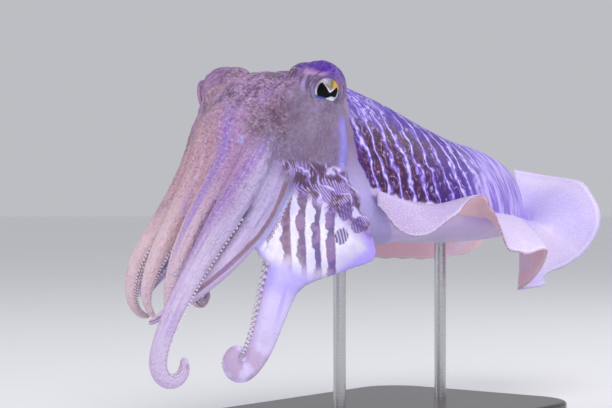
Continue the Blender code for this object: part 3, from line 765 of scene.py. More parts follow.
@dataclass(frozen=True)
class LimbFinish:
    """Mottled head skin, striped arms that pale to their tips and barred white keels.

    Places on the head are millimetres to the side of its middle, back and up. On an arm,
    its lane is its number round the crown, and its grooves lie half-way between lanes.
    """

    lean: float = 2.0
    middle_lane: float = 3.5
    cloud_scale: float = 42.0
    mottle_scale: float = 135.0
    speck_scale: float = 430.0
    fine_scale: float = 520.0
    grit_scale: float = 820.0
    relief: float = 0.0006
    roughness: float = 0.45
    patch_at: Triple = (20.0, -26.0, -17.0)
    patch_size: Triple = (9.0, 16.0, 17.0)
    dome_at: Triple = (26.0, 0.0, 4.0)
    dome_size: Triple = (18.0, 17.0, 11.5)
    # Where the pink patch of painted highlight on the brow above the near eye lies, and its size.
    brow_highlight_at: Triple = (33.0, -12.0, 6.5)
    brow_highlight_size: Triple = (9.0, 6.0, 3.6)
    spot_at: Triple = (13.6, -38.3, -27.9)
    spot_size: Triple = (1.7, 7.0, 2.3)
    eye_at: Triple = (36.3, -6.3, -1.0)
    lid_ring: float = 7.0
    # Radii of painted light on the crests of the folds round the eye and of painted shade in their
    # crease.
    lit_fold_ring: float = 7.9
    shaded_fold_ring: float = 9.8
    outer_lit_fold_ring: float = 11.4
    bar_pitch: float = 6.9
    bar_lean: float = 0.33
    bar_start: float = 11.5
    bars_shown: Span = (-0.5, 3.55)
    blotches_at: tuple[Pair, ...] = ((5.4, 17.7), (8.6, 25.3), (19.7, 20.9))
    blotch_size: Pair = (4.6, 2.7)
    tan: Colour = (0.49, 0.285, 0.335)
    orange: Colour = (0.48, 0.26, 0.26)
    mauve: Colour = (0.40, 0.235, 0.46)
    grey: Colour = (0.235, 0.175, 0.29)
    umber: Colour = (0.105, 0.055, 0.105)
    brown: Colour = (0.20, 0.11, 0.14)
    dome: Colour = (0.24, 0.12, 0.47)
    spot: Colour = (0.43, 0.44, 0.95)
    violet: Colour = (0.07, 0.012, 0.30)
    pink: Colour = (0.52, 0.30, 0.55)
    # The pale colour of painted light on the crests of the folds round the eye.
    ring: Colour = (0.46, 0.40, 0.72)
    rim: Colour = (0.32, 0.27, 0.84)
    arm_mauve: Colour = (0.41, 0.23, 0.46)
    arm_grey: Colour = (0.47, 0.395, 0.66)
    web: Colour = (0.53, 0.51, 0.90)
    purple: Colour = (0.30, 0.17, 0.60)
    streak: Colour = (0.27, 0.14, 0.20)
    pale: Colour = (0.64, 0.52, 0.76)
    beige: Colour = (0.73, 0.555, 0.61)
    keel: Colour = (0.74, 0.69, 0.96)
    white: Colour = (0.93, 0.88, 0.99)
    bar: Colour = (0.20, 0.10, 0.19)
    deep: Colour = (0.13, 0.07, 0.28)
    edge: Colour = (0.38, 0.28, 0.92)
    shaft: Colour = (0.68, 0.59, 0.92)
    curl: Colour = (0.54, 0.40, 0.62)
    dot: Colour = (0.86, 0.74, 0.92)
    fleck: Colour = (0.66, 0.42, 0.66)

    def material(self) -> Material:
        """Builds the finish.

        Returns:
            The material.
        """
        m = NodeMaker("mottled head and arm skin")
        lane, along, limb = m.attribute("flow")
        reach, out, keel = m.attribute("limb")
        x, y, z = m.attribute("body")
        where = m.place()
        cloud = m.noise(where, self.cloud_scale, 3.0)
        mottle = m.noise(where, self.mottle_scale, 4.0)
        fine = m.noise(where, self.fine_scale, 2.0)
        grit = m.noise(where, self.grit_scale, 4.0)
        broad = abs(x + self.lean)
        folded = abs(lane - self.middle_lane) + self.middle_lane
        skin = self.head(m, (x, y, z), broad, cloud, mottle)
        arms = self.arms(m, (lane, folded), (along, reach), cloud, mottle)
        start = along + cloud * 12.0 - folded.step(4.0, 4.8) * 12.0
        skin = m.mix(start.step(-4.0, 14.0), skin, arms)
        streaks = m.noise(m.vector(lane * 3.2, along * 0.016, 0.0), 2.2, 3.0)
        skin = m.mix(streaks.step(0.54, 0.68) * 0.32, skin, self.purple)
        flap = (folded + cloud * 0.2).step(6.42, 6.66) * (along + cloud * 6.0).step(6.0, 12.0)
        on_cheek = (broad + cloud * 10.0 - z * 0.25).step(27.0, 35.0) * along.step(20.0, 5.0)
        plain = (1.0 - flap * 0.8) * reach.step(0.8, 0.2).most(0.25) * (1.0 - on_cheek * 0.65)
        pale_arm = (folded + cloud * 0.3).step(4.9, 5.4) * along.step(0.0, 20.0)
        plain = plain * (1.0 - pale_arm * 0.55)
        skin = m.mix(grit.step(0.50, 0.66) * plain * 0.42, skin, self.umber)
        skin = m.mix(grit.step(0.48, 0.34) * plain * 0.22, skin, self.fleck)
        shown = along.step(4.0, 22.0) * (1.0 - flap) * reach.step(0.95, 0.5).most(0.3)
        threads = m.noise(m.vector(lane * 9.0, along * 0.03, mottle * 0.6), 2.2, 3.0)
        skin = m.mix(threads.step(0.53, 0.65) * shown * 0.20, skin, self.brown)
        skin = m.mix(threads.step(0.47, 0.36) * shown * 0.16, skin, self.dot)
        skin = m.mix(flap, skin, self.barred(m, along, out, reach, mottle))
        blue = m.spot((x, y, z), self.spot_at, self.spot_size, mottle)
        skin = m.mix(blue * 0.55, skin, self.spot)
        teeth = (y * 6.4 + z * 2.6 + mottle * 8.0).sine() * 0.5 + 0.5
        net = self.net(m, y, z, mottle, teeth)
        skin = m.mix(self.below_cheek(broad, z, along, mottle), skin, net)
        hatch = (y * 5.2 + mottle * 5.0).sine() * 0.3 + 0.7
        skin = m.mix(self.blotches(along, out, grit) * hatch * keel, skin, self.deep)
        dotted = folded.step(6.2, 5.2) * broad.step(30.0, 20.0).most(limb)
        dots = m.cells(where, self.fine_scale).step(0.62, 0.16)
        dots = dots * dotted * (fine.step(0.40, 0.62) * 0.7 + 0.3)
        specks = m.cells(where, self.speck_scale).step(0.3, 0.14) * mottle.step(0.5, 0.62)
        light = dots.most(specks * 0.4)
        skin = m.mix(light * 0.32, skin, self.dot)
        m.set(Base_Color=skin, Roughness=self.roughness, **MOIST)
        m.set(Subsurface_Weight=0.04, Subsurface_Scale=0.002)
        m.bump(light * 0.8 + mottle * 0.6 + fine * 0.4, self.relief, 0.9)
        return m.material

    def head(self, m: NodeMaker, body: Values, broad: Value, cloud: Value, mottle: Value) -> Socket:
        """Colours of forehead, eye domes and cheeks, with painted light and shade on the eye folds.

        Args:
            m: The material's nodes.
            body: The place in body millimetres.
            broad: How far to the side of the head's middle.
            cloud: Large soft noise.
            mottle: Small noise.

        Returns:
            A colour.
        """
        x, y, z = body
        place = (broad, y, z)
        skin = m.mix((x + cloud * 14.0).step(-14.0, 8.0), self.tan, self.mauve)
        far = x.step(-8.0, -20.0)
        cheek = (broad + cloud * 10.0 - z * 0.25 - far * 10.0).step(25.0, 35.0)
        skin = m.mix(cheek, skin, self.grey)
        patch = m.noise(m.vector(x * 0.05, y * 0.03, z * 0.03), 3.4, 3.0)
        patch = (patch + mottle * 0.3).step(0.60, 0.76) * (1.0 - cheek * 0.8)
        skin = m.mix(patch * 0.85, skin, self.umber)
        skin = m.mix(mottle.step(0.52, 0.64) * 0.45 * (1.0 - cheek * 0.6), skin, self.umber)
        brown = m.spot(place, self.patch_at, self.patch_size, mottle)
        skin = m.mix(brown * 0.45, skin, self.brown)
        streaky = m.noise(m.vector(x, y * 0.45, z), 0.42, 4.0).step(0.46, 0.60)
        skin = m.mix(brown * streaky * 0.6, skin, self.umber)
        grain = m.noise(m.vector(x, y, z * 0.5), 0.8, 4.0)
        skin = m.mix(grain.step(0.53, 0.64) * 0.5 * (1.0 - cheek * 0.7), skin, self.umber)
        skin = m.mix(grain.step(0.46, 0.36) * 0.5 * (1.0 - cheek * 0.7), skin, self.pink)
        on_dome = m.spot(place, self.dome_at, self.dome_size, cloud)
        near_side = x.step(-34.0, 14.0)
        shade = m.mix(mottle.step(0.44, 0.60), self.dome, self.umber)
        skin = m.mix(on_dome * (near_side * 0.6 + 0.3), skin, shade)
        from_eye = self.from_eye(place)
        # Painted light on the crests of the eye folds, painted shade in the crease between them.
        ring = from_eye + mottle
        ahead = (y + mottle * 4.0).step(-4.0, -8.0) * near_side * z.step(-7.0, -2.0)
        inner = m.band(ring, self.lit_fold_ring, 0.5, 0.9) * mottle.step(0.60, 0.42)
        skin = m.mix(inner * near_side * 0.6, skin, self.ring)
        skin = m.mix(m.band(ring, self.outer_lit_fold_ring, 0.4, 1.0) * ahead * 0.45, skin, self.ring)
        skin = m.mix(m.band(ring, self.shaded_fold_ring, 0.2, 0.8) * ahead * 0.5, skin, self.umber)
        skin = m.mix(x.step(-16.0, -32.0) * 0.4, skin, self.pink)
        lid = m.band(from_eye, self.lid_ring, 0.6, 1.4)
        skin = m.mix(lid * near_side * 0.4, skin, self.umber)
        # A pink patch of painted highlight on the brow above the near eye.
        pink = m.spot(place, self.brow_highlight_at, self.brow_highlight_size, mottle)
        skin = m.mix(pink * near_side, skin, self.pink)
        high = (z + y * 0.45 + broad * 0.35 + cloud * 9.0 - 13.4).step(0.5, 5.5)
        high = high * (broad - z * 0.6).step(4.0, 12.0) * z.step(2.0, 6.0)
        skin = m.mix(high * on_dome.root() * near_side.most(0.3), skin, self.violet)
        edge = broad.step(32.0, 37.5) * (y + cloud * 4.0).step(-1.0, 5.0)
        edge = edge * z.step(-10.0, -17.0) * z.step(-50.0, -42.0) * y.step(16.0, 8.0)
        return m.mix(edge, skin, self.rim)

    def from_eye(self, place: Values) -> Value:
        """The distance from the middle of an eye's opening, in millimetres."""
        a, b, c = (p - middle for p, middle in zip(place, self.eye_at))
        return (a * a + b * b + c * c).root()

    def arms(
        self, m: NodeMaker, lanes: Values, lengths: Values, cloud: Value, mottle: Value
    ) -> Socket:
        """The lengthwise colours of the arms, which pale toward their tips.

        Args:
            m: The material's nodes.
            lanes: The lane round the crown, and the same as if both sides were the left.
            lengths: Distance along the arms, and share of the way along.
            cloud: Large soft noise.
            mottle: Small noise.

        Returns:
            A colour.
        """
        lane, folded = lanes
        along, reach = lengths
        skin = m.mix((lane + cloud * 0.5).step(3.3, 4.2), self.tan, self.arm_mauve)
        skin = m.mix((folded + cloud * 0.3).step(4.95, 5.45), skin, self.arm_grey)
        skin = m.mix(mottle.step(0.56, 0.7) * 0.4, skin, self.umber)
        paling = (reach + cloud * 0.22).step(0.30, 0.78)
        skin = m.mix(paling * 0.85, skin, m.mix(lane.step(4.3, 4.7), self.beige, self.pale))
        body = reach.step(0.85, 0.55)
        for groove, middle, half, soft, much, colour in (
            (lane, 3.45, 0.02, 0.09, 0.5, self.orange),
            (lane + mottle * 0.2, 3.97, 0.06, 0.14, 0.65, self.purple),
            (lane + mottle * 0.1, 4.42, 0.02, 0.10, 0.6, self.streak),
            (lane + along * 0.004 + mottle * 0.16, 5.1, 0.05, 0.15, 0.6, self.purple),
        ):
            skin = m.mix(m.band(groove, middle, half, soft) * much * body, skin, colour)
        drift = (along * 0.0075).least(0.22) - (along - 40.0).most(0.0) * 0.005
        stripe = m.band(folded - drift + mottle * 0.08, 5.82, 0.05, 0.07)
        skin = m.mix(folded.step(6.02, 6.2) * reach.step(0.5, 0.4), skin, self.web)
        return m.mix(stripe * along.step(8.0, 16.0) * 0.85, skin, self.streak)

    def barred(self, m: NodeMaker, along: Value, out: Value, reach: Value, mottle: Value) -> Socket:
        """The keeled arms' white flap with its bars and blue-violet edge, and their shaft.

        Args:
            m: The material's nodes.
            along: Distance along the arm.
            out: Height out of the arm's middle, in millimetres.
            reach: Share of the way along the arm.
            mottle: Small noise.

        Returns:
            A colour.
        """
        from_peak = abs(along - 20.0)
        base = m.mix(mottle.step(0.35, 0.65), self.keel, self.white)
        base = m.mix((out + from_peak * 0.5).step(20.0, 34.0) * 0.55, base, self.arm_grey)
        place = (out - along * self.bar_lean + self.bar_start) / self.bar_pitch
        place = place + (mottle - 0.5) * 0.55
        near = abs((place + 0.5).fraction() - 0.5)
        half = along.step(20.0, 4.0) * 0.10 + 0.27 + (mottle - 0.5) * 0.8
        first, last = self.bars_shown
        shown = (near - half).step(0.05, -0.07) * place.step(last, last - 0.1)
        shown = shown * place.step(first, first + 0.1) * (along + mottle * 8.0).step(52.0, 40.0)
        shade = m.mix((place + mottle).step(0.9, 2.2), self.bar, self.deep)
        shade = m.mix(mottle.step(0.48, 0.60) * 0.45, shade, self.arm_mauve)
        shade = m.mix(along.step(34.0, 12.0) * mottle.step(0.58, 0.46) * 0.5, shade, self.umber)
        base = m.mix(shown * 0.92, base, shade)
        rim = (out + from_peak * 0.55).step(31.0, 36.0)
        base = m.mix(rim * 0.8, base, self.edge)
        upper = along.step(20.0, 7.0) * out.step(7.0, 12.0) * mottle.step(0.36, 0.52)
        base = m.mix(upper * 0.65, base, self.purple)
        shaft = m.mix(reach.step(0.62, 0.80) * mottle.step(0.38, 0.56), self.shaft, self.curl)
        ends = m.mix(m.band(out, 4.4, 0.4, 1.0) * 0.5 * reach.step(0.7, 0.5), shaft, self.edge)
        base = m.mix(along.step(48.0, 58.0), base, ends)
        return m.mix(m.band(along + mottle * 8.0, 54.0, 3.0, 7.0) * 0.6, base, self.edge)

    def blotches(self, along: Value, out: Value, grit: Value) -> Value:
        """Three dark blotches with ragged borders, behind the keel's bars.

        Args:
            along: Distance along the arm.
            out: Height out of the arm's middle, in millimetres.
            grit: The noise that frays their borders.

        Returns:
            1 in the blotches.
        """
        long, high = self.blotch_size
        spots = []
        for there, height in self.blotches_at:
            a, b = (along - there) / long, (out - height) / high
            spots.append((a * a + b * b + (grit - 0.5) * 2.0).step(1.5, 0.9))
        first, second, third = spots
        return first.most(second).most(third)

    def below_cheek(self, broad: Value, z: Value, along: Value, mottle: Value) -> Value:
        """Where the net of dark patches lies between cheek and keel."""
        low = (z + mottle * 5.0).step(-31.0, -35.0) * (broad + mottle * 4.0).step(24.0, 28.0)
        return low * (along + mottle * 6.0).step(16.0, 9.0)

    def net(self, m: NodeMaker, y: Value, z: Value, mottle: Value, teeth: Value) -> Socket:
        """Dark toothed patches under wavy white lines that fan out down and back.

        Args:
            m: The material's nodes.
            y: Place back, in body millimetres.
            z: Height, in body millimetres.
            mottle: Small noise.
            teeth: Thin alternate lines.

        Returns:
            A colour.
        """
        fall, back = (-26.0 - z).most(0.0), (y + 25.0).most(1.0)
        fan = fall / (fall + back) * 8.5 + (m.noise(m.place(), 90.0, 2.0) - 0.5) * 2.6
        fine = m.noise(m.place(), self.fine_scale, 3.0)
        ridge = abs(fan.fraction() - 0.5) * 2.0 + (mottle - 0.5) * 0.6 + (fine - 0.5) * 0.6
        dark = m.mix(teeth * 0.6, self.umber, self.bar)
        patches = m.noise(m.place(), 150.0, 3.0) + teeth * 0.06 + (fine - 0.5) * 0.4
        ground = m.mix(teeth.step(0.35, 0.75), self.dome, self.arm_grey)
        skin = m.mix(patches.step(0.48, 0.60), dark, ground)
        skin = m.mix(ridge.step(0.45, 0.75) * 0.6, skin, self.purple)
        return m.mix(ridge.step(0.80, 0.98) * 0.75, skin, self.keel)


@dataclass(frozen=True)
class FinFinish:
    """A thin pale fin: white flecks above, orange pink and painted light below, a beaded red edge.

    Its length runs in millimetres along the fin line, and its breadth from root, 0, to
    edge, 1.
    """

    cloud_scale: float = 34.0
    soft_scale: float = 17.0
    fine_scale: float = 300.0
    fleck_scale: float = 1100.0
    bead_pitch: float = 0.62
    relief: float = 0.0003
    roughness: float = 0.42
    rear_start: Span = (100.0, 130.0)
    edge_width: Span = (0.982, 0.994)
    violet_length: Span = (120.0, 145.0)
    vein_root: float = 150.0
    front: Colour = (0.61, 0.48, 0.79)
    rear: Colour = (0.74, 0.62, 0.92)
    white: Colour = (0.92, 0.86, 0.96)
    violet: Colour = (0.32, 0.23, 0.85)
    # The underside's orange pink, brightened with painted light that shines through the thin fin.
    lower: Colour = (0.96, 0.60, 0.70)
    lower_pale: Colour = (0.90, 0.70, 0.92)
    blue: Colour = (0.60, 0.52, 0.97)
    rosy: Colour = (0.86, 0.62, 0.84)
    edge: Colour = (0.36, 0.15, 0.28)

    def material(self) -> Material:
        """Builds the finish.

        Returns:
            The material.
        """
        m = NodeMaker("fin membrane")
        along, out, face = m.attribute("fin")
        where = m.place()
        cloud = m.noise(where, self.cloud_scale, 3.0)
        fine = m.noise(where, self.fine_scale, 2.0)
        ray = m.noise(m.vector(along * 0.7, out * 0.8, face), 1.0, 2.0)
        # The underside: orange pink lifted by painted light through the fin, where it lies in shade.
        low = m.mix(cloud.step(0.42, 0.66), self.lower, self.lower_pale)
        low = m.mix(along.step(16.0, 5.0), low, self.front)
        skin = m.mix(face.step(0.2, -0.2), low, self.upper(m, along, out, cloud))
        flecks = m.cells(where, self.fleck_scale).step(0.44, 0.18) * fine.step(0.34, 0.46)
        skin = m.mix(flecks * 0.55, skin, self.white)
        skin = m.mix(m.band(out + ray * 0.01, 0.96, 0.012, 0.02) * 0.4, skin, self.white)
        beads = abs((along * self.bead_pitch).fraction() - 0.5).step(0.30, 0.14)
        rim = (out + ray * 0.008).step(*self.edge_width)
        rim = rim * (along + cloud * 20.0).step(120.0, 100.0)
        skin = m.mix(rim * (1.0 - beads * 0.8) * 0.8, skin, self.edge)
        m.set(Base_Color=skin, Roughness=self.roughness, Coat_Weight=0.05, Coat_Roughness=0.25)
        m.set(Subsurface_Weight=0.08, Subsurface_Scale=0.002, Specular_IOR_Level=0.3)
        m.bump(flecks * 0.4 + ray * 0.6 + beads * 0.4, self.relief, 0.6)
        return m.material

    def upper(self, m: NodeMaker, along: Value, out: Value, cloud: Value) -> Socket:
        """The upper face: pink lavender, with blue and rosy clouds toward the tail.

        Args:
            m: The material's nodes.
            along: Distance along the fin line.
            out: Share of the way out.
            cloud: Large soft noise.

        Returns:
            A colour.
        """
        top = m.mix((along + cloud * 30.0).step(60.0, 125.0), self.front, self.rear)
        top = m.mix(cloud.step(0.5, 0.72) * 0.45, top, self.white)
        soft = m.noise(m.place(), self.soft_scale, 1.0)
        behind = along.step(*self.rear_start)
        top = m.mix(soft.step(0.50, 0.60) * behind * 0.7, top, self.blue)
        top = m.mix(soft.step(0.48, 0.38) * behind * 0.7, top, self.rosy)
        top = m.mix(out.step(0.80, 0.95) * behind * 0.5, top, self.blue)
        root = (out + cloud * 0.35).step(0.55, 0.18)
        root = root * (along + cloud * 20.0).step(*self.violet_length)
        spread = (along - self.vein_root) * 0.10 / (out + 0.25)
        veins = m.noise(m.vector(spread, out * 1.5, 0.0), 2.0, 3.0)
        return m.mix(root * veins.step(0.35, 0.7) * 0.7, top, self.violet)


@dataclass(frozen=True)
class SuckerFinish:
    """Pale glossy suckers with a warmer tone in places."""

    cloud_scale: float = 260.0
    grain_scale: float = 1500.0
    relief: float = 0.0001
    roughness: float = 0.3
    coat: float = 0.3
    pale: Colour = (0.88, 0.82, 0.90)
    warm: Colour = (0.80, 0.66, 0.76)

    def material(self) -> Material:
        """Builds the finish.

        Returns:
            The material.
        """
        m = NodeMaker("pale suckers")
        cloud = m.noise(m.place(), self.cloud_scale, 2.0)
        tone = m.mix(cloud.step(0.4, 0.65), self.pale, self.warm)
        m.set(Base_Color=tone, Roughness=self.roughness, Coat_Weight=self.coat)
        m.bump(m.noise(m.place(), self.grain_scale), self.relief, 0.5)
        return m.material


@dataclass(frozen=True)
class EyeFinish:
    """A black pupil shaped like a W, a gold and silver iris and a blue lower rim.

    Places on the eye are millimetres back and up from the middle of its front.
    """

    lowered: float = 0.5
    notch_at: float = 0.9
    notch_depth: float = 0.75
    notch_slopes: Pair = (1.02, 0.25)
    floor: float = 2.95
    pupil_radii: Pair = (4.6, 4.1)
    squareness: float = 2.4
    soft: float = 0.12
    iris_edge: Span = (5.2, 6.0)
    grain_scale: float = 900.0
    roughness: float = 0.3
    black: Colour = (0.001, 0.001, 0.002)
    silver: Colour = (0.62, 0.66, 0.80)
    white: Colour = (0.86, 0.88, 0.94)
    grey: Colour = (0.36, 0.30, 0.42)
    gold: Colour = (0.80, 0.42, 0.07)
    green: Colour = (0.22, 0.22, 0.05)
    blue: Colour = (0.05, 0.11, 0.50)
    mauve: Colour = (0.34, 0.24, 0.52)

    def material(self) -> Material:
        """Builds the finish.

        Returns:
            The material.
        """
        m = NodeMaker("cuttlefish eye")
        u, v, _ = m.attribute("eye")
        v = v + self.lowered
        notch = abs(u - self.notch_at)
        slope, steeper = self.notch_slopes
        rise = (notch * notch + self.soft).root() * (u.step(0.6, 1.4) * steeper + slope)
        roof = v + self.notch_depth - rise
        floor = v + self.floor - u.step(0.0, 2.2) * 1.1
        wide, high = self.pupil_radii
        oval = (abs(u + 0.1) / wide) ** self.squareness + (abs(v) / high) ** self.squareness
        pupil = roof.step(self.soft, -self.soft) * floor.step(-self.soft, self.soft)
        pupil = pupil * oval.step(1.05, 0.96)
        iris = self.iris(m, u, v, roof)
        m.set(Base_Color=m.mix(pupil, iris, self.black), Roughness=self.roughness)
        m.set(Coat_Weight=0.15, Coat_Roughness=0.02, Metallic=(1.0 - pupil) * 0.15)
        m.set(Specular_IOR_Level=0.05)
        return m.material

    def iris(self, m: NodeMaker, u: Value, v: Value, roof: Value) -> Socket:
        """The iris, silver and grey, gold above toward the tail and blue below.

        Args:
            m: The material's nodes.
            u: Place back from the middle.
            v: Place up from the middle.
            roof: Height above the pupil's upper edge.

        Returns:
            A colour.
        """
        grain = m.noise(m.place(), self.grain_scale, 3.0)
        radius = (u * u + v * v).root()
        iris = m.mix(v.step(-1.5, 1.5), self.silver, self.grey)
        below = (v + grain * 0.8).step(-1.9, -2.6)
        iris = m.mix(below * u.step(-0.4, 0.8), iris, self.white)
        iris = m.mix(below * u.step(0.6, -0.4), iris, self.blue)
        stripe = m.band(v + u * 0.72 + grain * 0.8, 2.3, 0.25, 0.35) * u.step(1.4, 0.2)
        iris = m.mix(stripe * v.step(0.5, 1.5) * 0.8, iris, self.green)
        flame = (v + grain * 1.2).step(2.0, 2.8) * (u + grain * 1.2).step(0.4, 1.4)
        iris = m.mix(flame, iris, m.mix((u + grain).step(1.6, 3.0), self.green, self.gold))
        inside = m.band(roof, 0.55, 0.18, 0.3) * v.step(2.2, 1.2)
        iris = m.mix(inside * 0.8, iris, self.white)
        iris = m.mix((grain - 0.5).step(0.0, 0.25) * 0.3, iris, self.mauve)
        return m.mix(radius.step(*self.iris_edge), iris, self.mauve)


@dataclass(frozen=True)
class LacquerFinish:
    """Dark stained wood under a thin satin lacquer."""

    across: float = 46.0
    lengthwise: float = 3.0
    pores_across: float = 900.0
    pores_lengthwise: float = 60.0
    relief: float = 0.0001
    dark: Colour = (0.020, 0.016, 0.014)
    light: Colour = (0.055, 0.040, 0.032)

    def material(self) -> Material:
        """Builds the finish.

        Returns:
            The material.
        """
        m = NodeMaker("lacquered dark wood")
        x, y, z = m.split(m.place())
        warp = m.noise(m.place(), 9.0, 2.0)
        ring = m.vector(x * self.across + warp * 1.6, y * self.lengthwise, z * self.across)
        grain = m.noise(ring, 2.2, 5.0)
        pore = m.vector(x * self.pores_across, y * self.pores_lengthwise, z * self.pores_across)
        pores = m.noise(pore, 1.0, 1.0)
        figure = grain.step(0.35, 0.66) * 0.8 + pores.step(0.58, 0.7) * 0.2
        m.set(Base_Color=m.mix(figure, self.dark, self.light), Roughness=grain * 0.12 + 0.34)
        m.set(Coat_Weight=0.5, Coat_Roughness=0.18)
        m.bump(grain * 0.6 + pores * 0.4, self.relief, 0.35)
        return m.material


@dataclass(frozen=True)
class SteelFinish:
    """Steel rod brushed round its length."""

    across: float = 40.0
    rings: float = 5200.0
    relief: float = 0.00005
    bright: Colour = (0.66, 0.66, 0.68)
    dull: Colour = (0.48, 0.48, 0.50)

    def material(self) -> Material:
        """Builds the finish.

        Returns:
            The material.
        """
        m = NodeMaker("brushed steel rod")
        x, y, z = m.split(m.place())
        rings = m.noise(m.vector(x * self.across, y * self.across, z * self.rings), 1.0, 3.0)
        m.set(Base_Color=m.mix(rings, self.dull, self.bright), Roughness=rings * 0.18 + 0.2)
        m.set(Metallic=1.0)
        m.bump(rings, self.relief, 0.3)
        return m.material


# The animal


@dataclass
class Mantle:
    """The body's muscular bag: stations run from its rim, 0, to the tail, 1."""

    rim_y: float = 3.0
    tail_y: float = 208.0
    rim_top: float = 10.0
    slant: float = 0.22
    slant_fade: float = 0.3
    stations: Numbers = (0.0, 0.07, 0.24, 0.42, 0.57, 0.71, 0.86, 0.95, 1.0)
    half_widths: Numbers = (32.0, 35.0, 41.0, 45.0, 44.0, 38.0, 26.0, 15.0, 3.0)
    backs: Numbers = (10.0, 10.0, 6.5, -1.0, -5.0, -5.8, -9.0, -17.5, -37.0)
    fin_lines: Numbers = (-40.0, -43.0, -47.0, -46.0, -45.0, -44.0, -43.0, -42.0, -39.0)
    bellies: Numbers = (-66.0, -68.0, -67.0, -61.0, -59.0, -56.0, -51.0, -47.0, -42.0)
    squareness: float = 2.25
    wall: float = 3.5
    collar_depth: float = 9.0
    rim_turn: float = 80.0
    rim_rings: int = 7
    first_ring: float = 0.012
    crowding: float = 1.15
    tail_share: float = 0.25
    tail_push: float = 1.4
    side_code: float = 4.0
    rings: int = 96
    sides: int = 144

    def __post_init__(self) -> None:
        """Makes the curves that the stations describe."""
        self.half_width = Profile(self.stations, self.half_widths)
        self.back = Profile(self.stations, self.backs)
        self.fin_line = Profile(self.stations, self.fin_lines)
        self.belly = Profile(self.stations, self.bellies)

    def length(self) -> float:
        """From the rim to the tail."""
        return self.tail_y - self.rim_y

    def y_at(self, station: float, z: np.ndarray) -> np.ndarray:
        """How far back a point at a station lies: the rim slants back toward the belly."""
        slant = self.slant * max(0.0, 1.0 - station / self.slant_fade)
        return self.rim_y + station * self.length() + slant * (self.rim_top - z)

    def ring(self, station: float, grow: float = 0.0) -> np.ndarray:
        """A ring of points round the mantle.

        Args:
            station: Where along the mantle.
            grow: How far outside the skin it lies.

        Returns:
            The points, starting on the left fin line and going up.
        """
        angle = turns(self.sides)
        c, s = np.cos(angle), np.sin(angle)
        power = 2.0 / self.squareness
        middle = self.fin_line(station)
        up, down = self.back(station) - middle, middle - self.belly(station)
        reach = np.where(s > 0, up, down) + grow
        x = (self.half_width(station) + grow) * np.sign(c) * np.abs(c) ** power
        z = middle + reach * np.sign(s) * np.abs(s) ** power
        return np.stack([x, self.y_at(station, z), z], axis=1)

    def build(self) -> Piece:
        """Builds the mantle, with a rounded rim and the collar that the neck sits in.

        Returns:
            The mantle, in body millimetres.
        """
        inner = self.collar_depth / self.length()
        rings = [self.ring(s, -self.wall) for s in (inner, inner * 0.5)]
        for turn in np.radians(np.linspace(-self.rim_turn, self.rim_turn, self.rim_rings)):
            station = (1.0 - math.cos(turn)) * self.wall / 2 / self.length()
            rings.append(self.ring(station, (math.sin(turn) - 1.0) * self.wall / 2))
        spread = 1.0 - (1.0 - np.linspace(self.first_ring, 1.0, self.rings)) ** self.crowding
        rings += [self.ring(s) for s in spread]
        last = self.ring(1.0)
        tail = last * self.tail_share + last.mean(axis=0) * (1.0 - self.tail_share)
        rings.append(tail + np.array([0.0, self.tail_push, 0.0]))
        return loft("mantle", rings)

    def coordinates(self, points: np.ndarray) -> np.ndarray:
        """Where points lie on the mantle, for its finish.

        Args:
            points: Places in body millimetres.

        Returns:
            Distance back from the rim, how far down from the back's ridge (0) to the
            fin line (1) and the belly (2), and the side.
        """
        station = np.clip((points[:, 1] - self.rim_y) / self.length(), 0.0, 1.0)
        slant = self.slant * np.clip(1.0 - station / self.slant_fade, 0.0, None)
        along = points[:, 1] - self.rim_y - slant * (self.rim_top - points[:, 2])
        station = np.clip(along / self.length(), 0.0, 1.0)
        middle = self.fin_line.many(station)
        up = np.maximum(self.back.many(station) - middle, 1.0)
        down = np.maximum(middle - self.belly.many(station), 1.0)
        z = points[:, 2] - middle
        x = points[:, 0] / np.maximum(self.half_width.many(station), 1.0)
        height = np.where(z > 0, z / up, z / down)
        angle = np.degrees(np.arctan2(height, np.abs(x)))
        side = np.sign(points[:, 0]) * self.side_code
        return np.stack([along, 1.0 - angle / 90.0, side], axis=1)


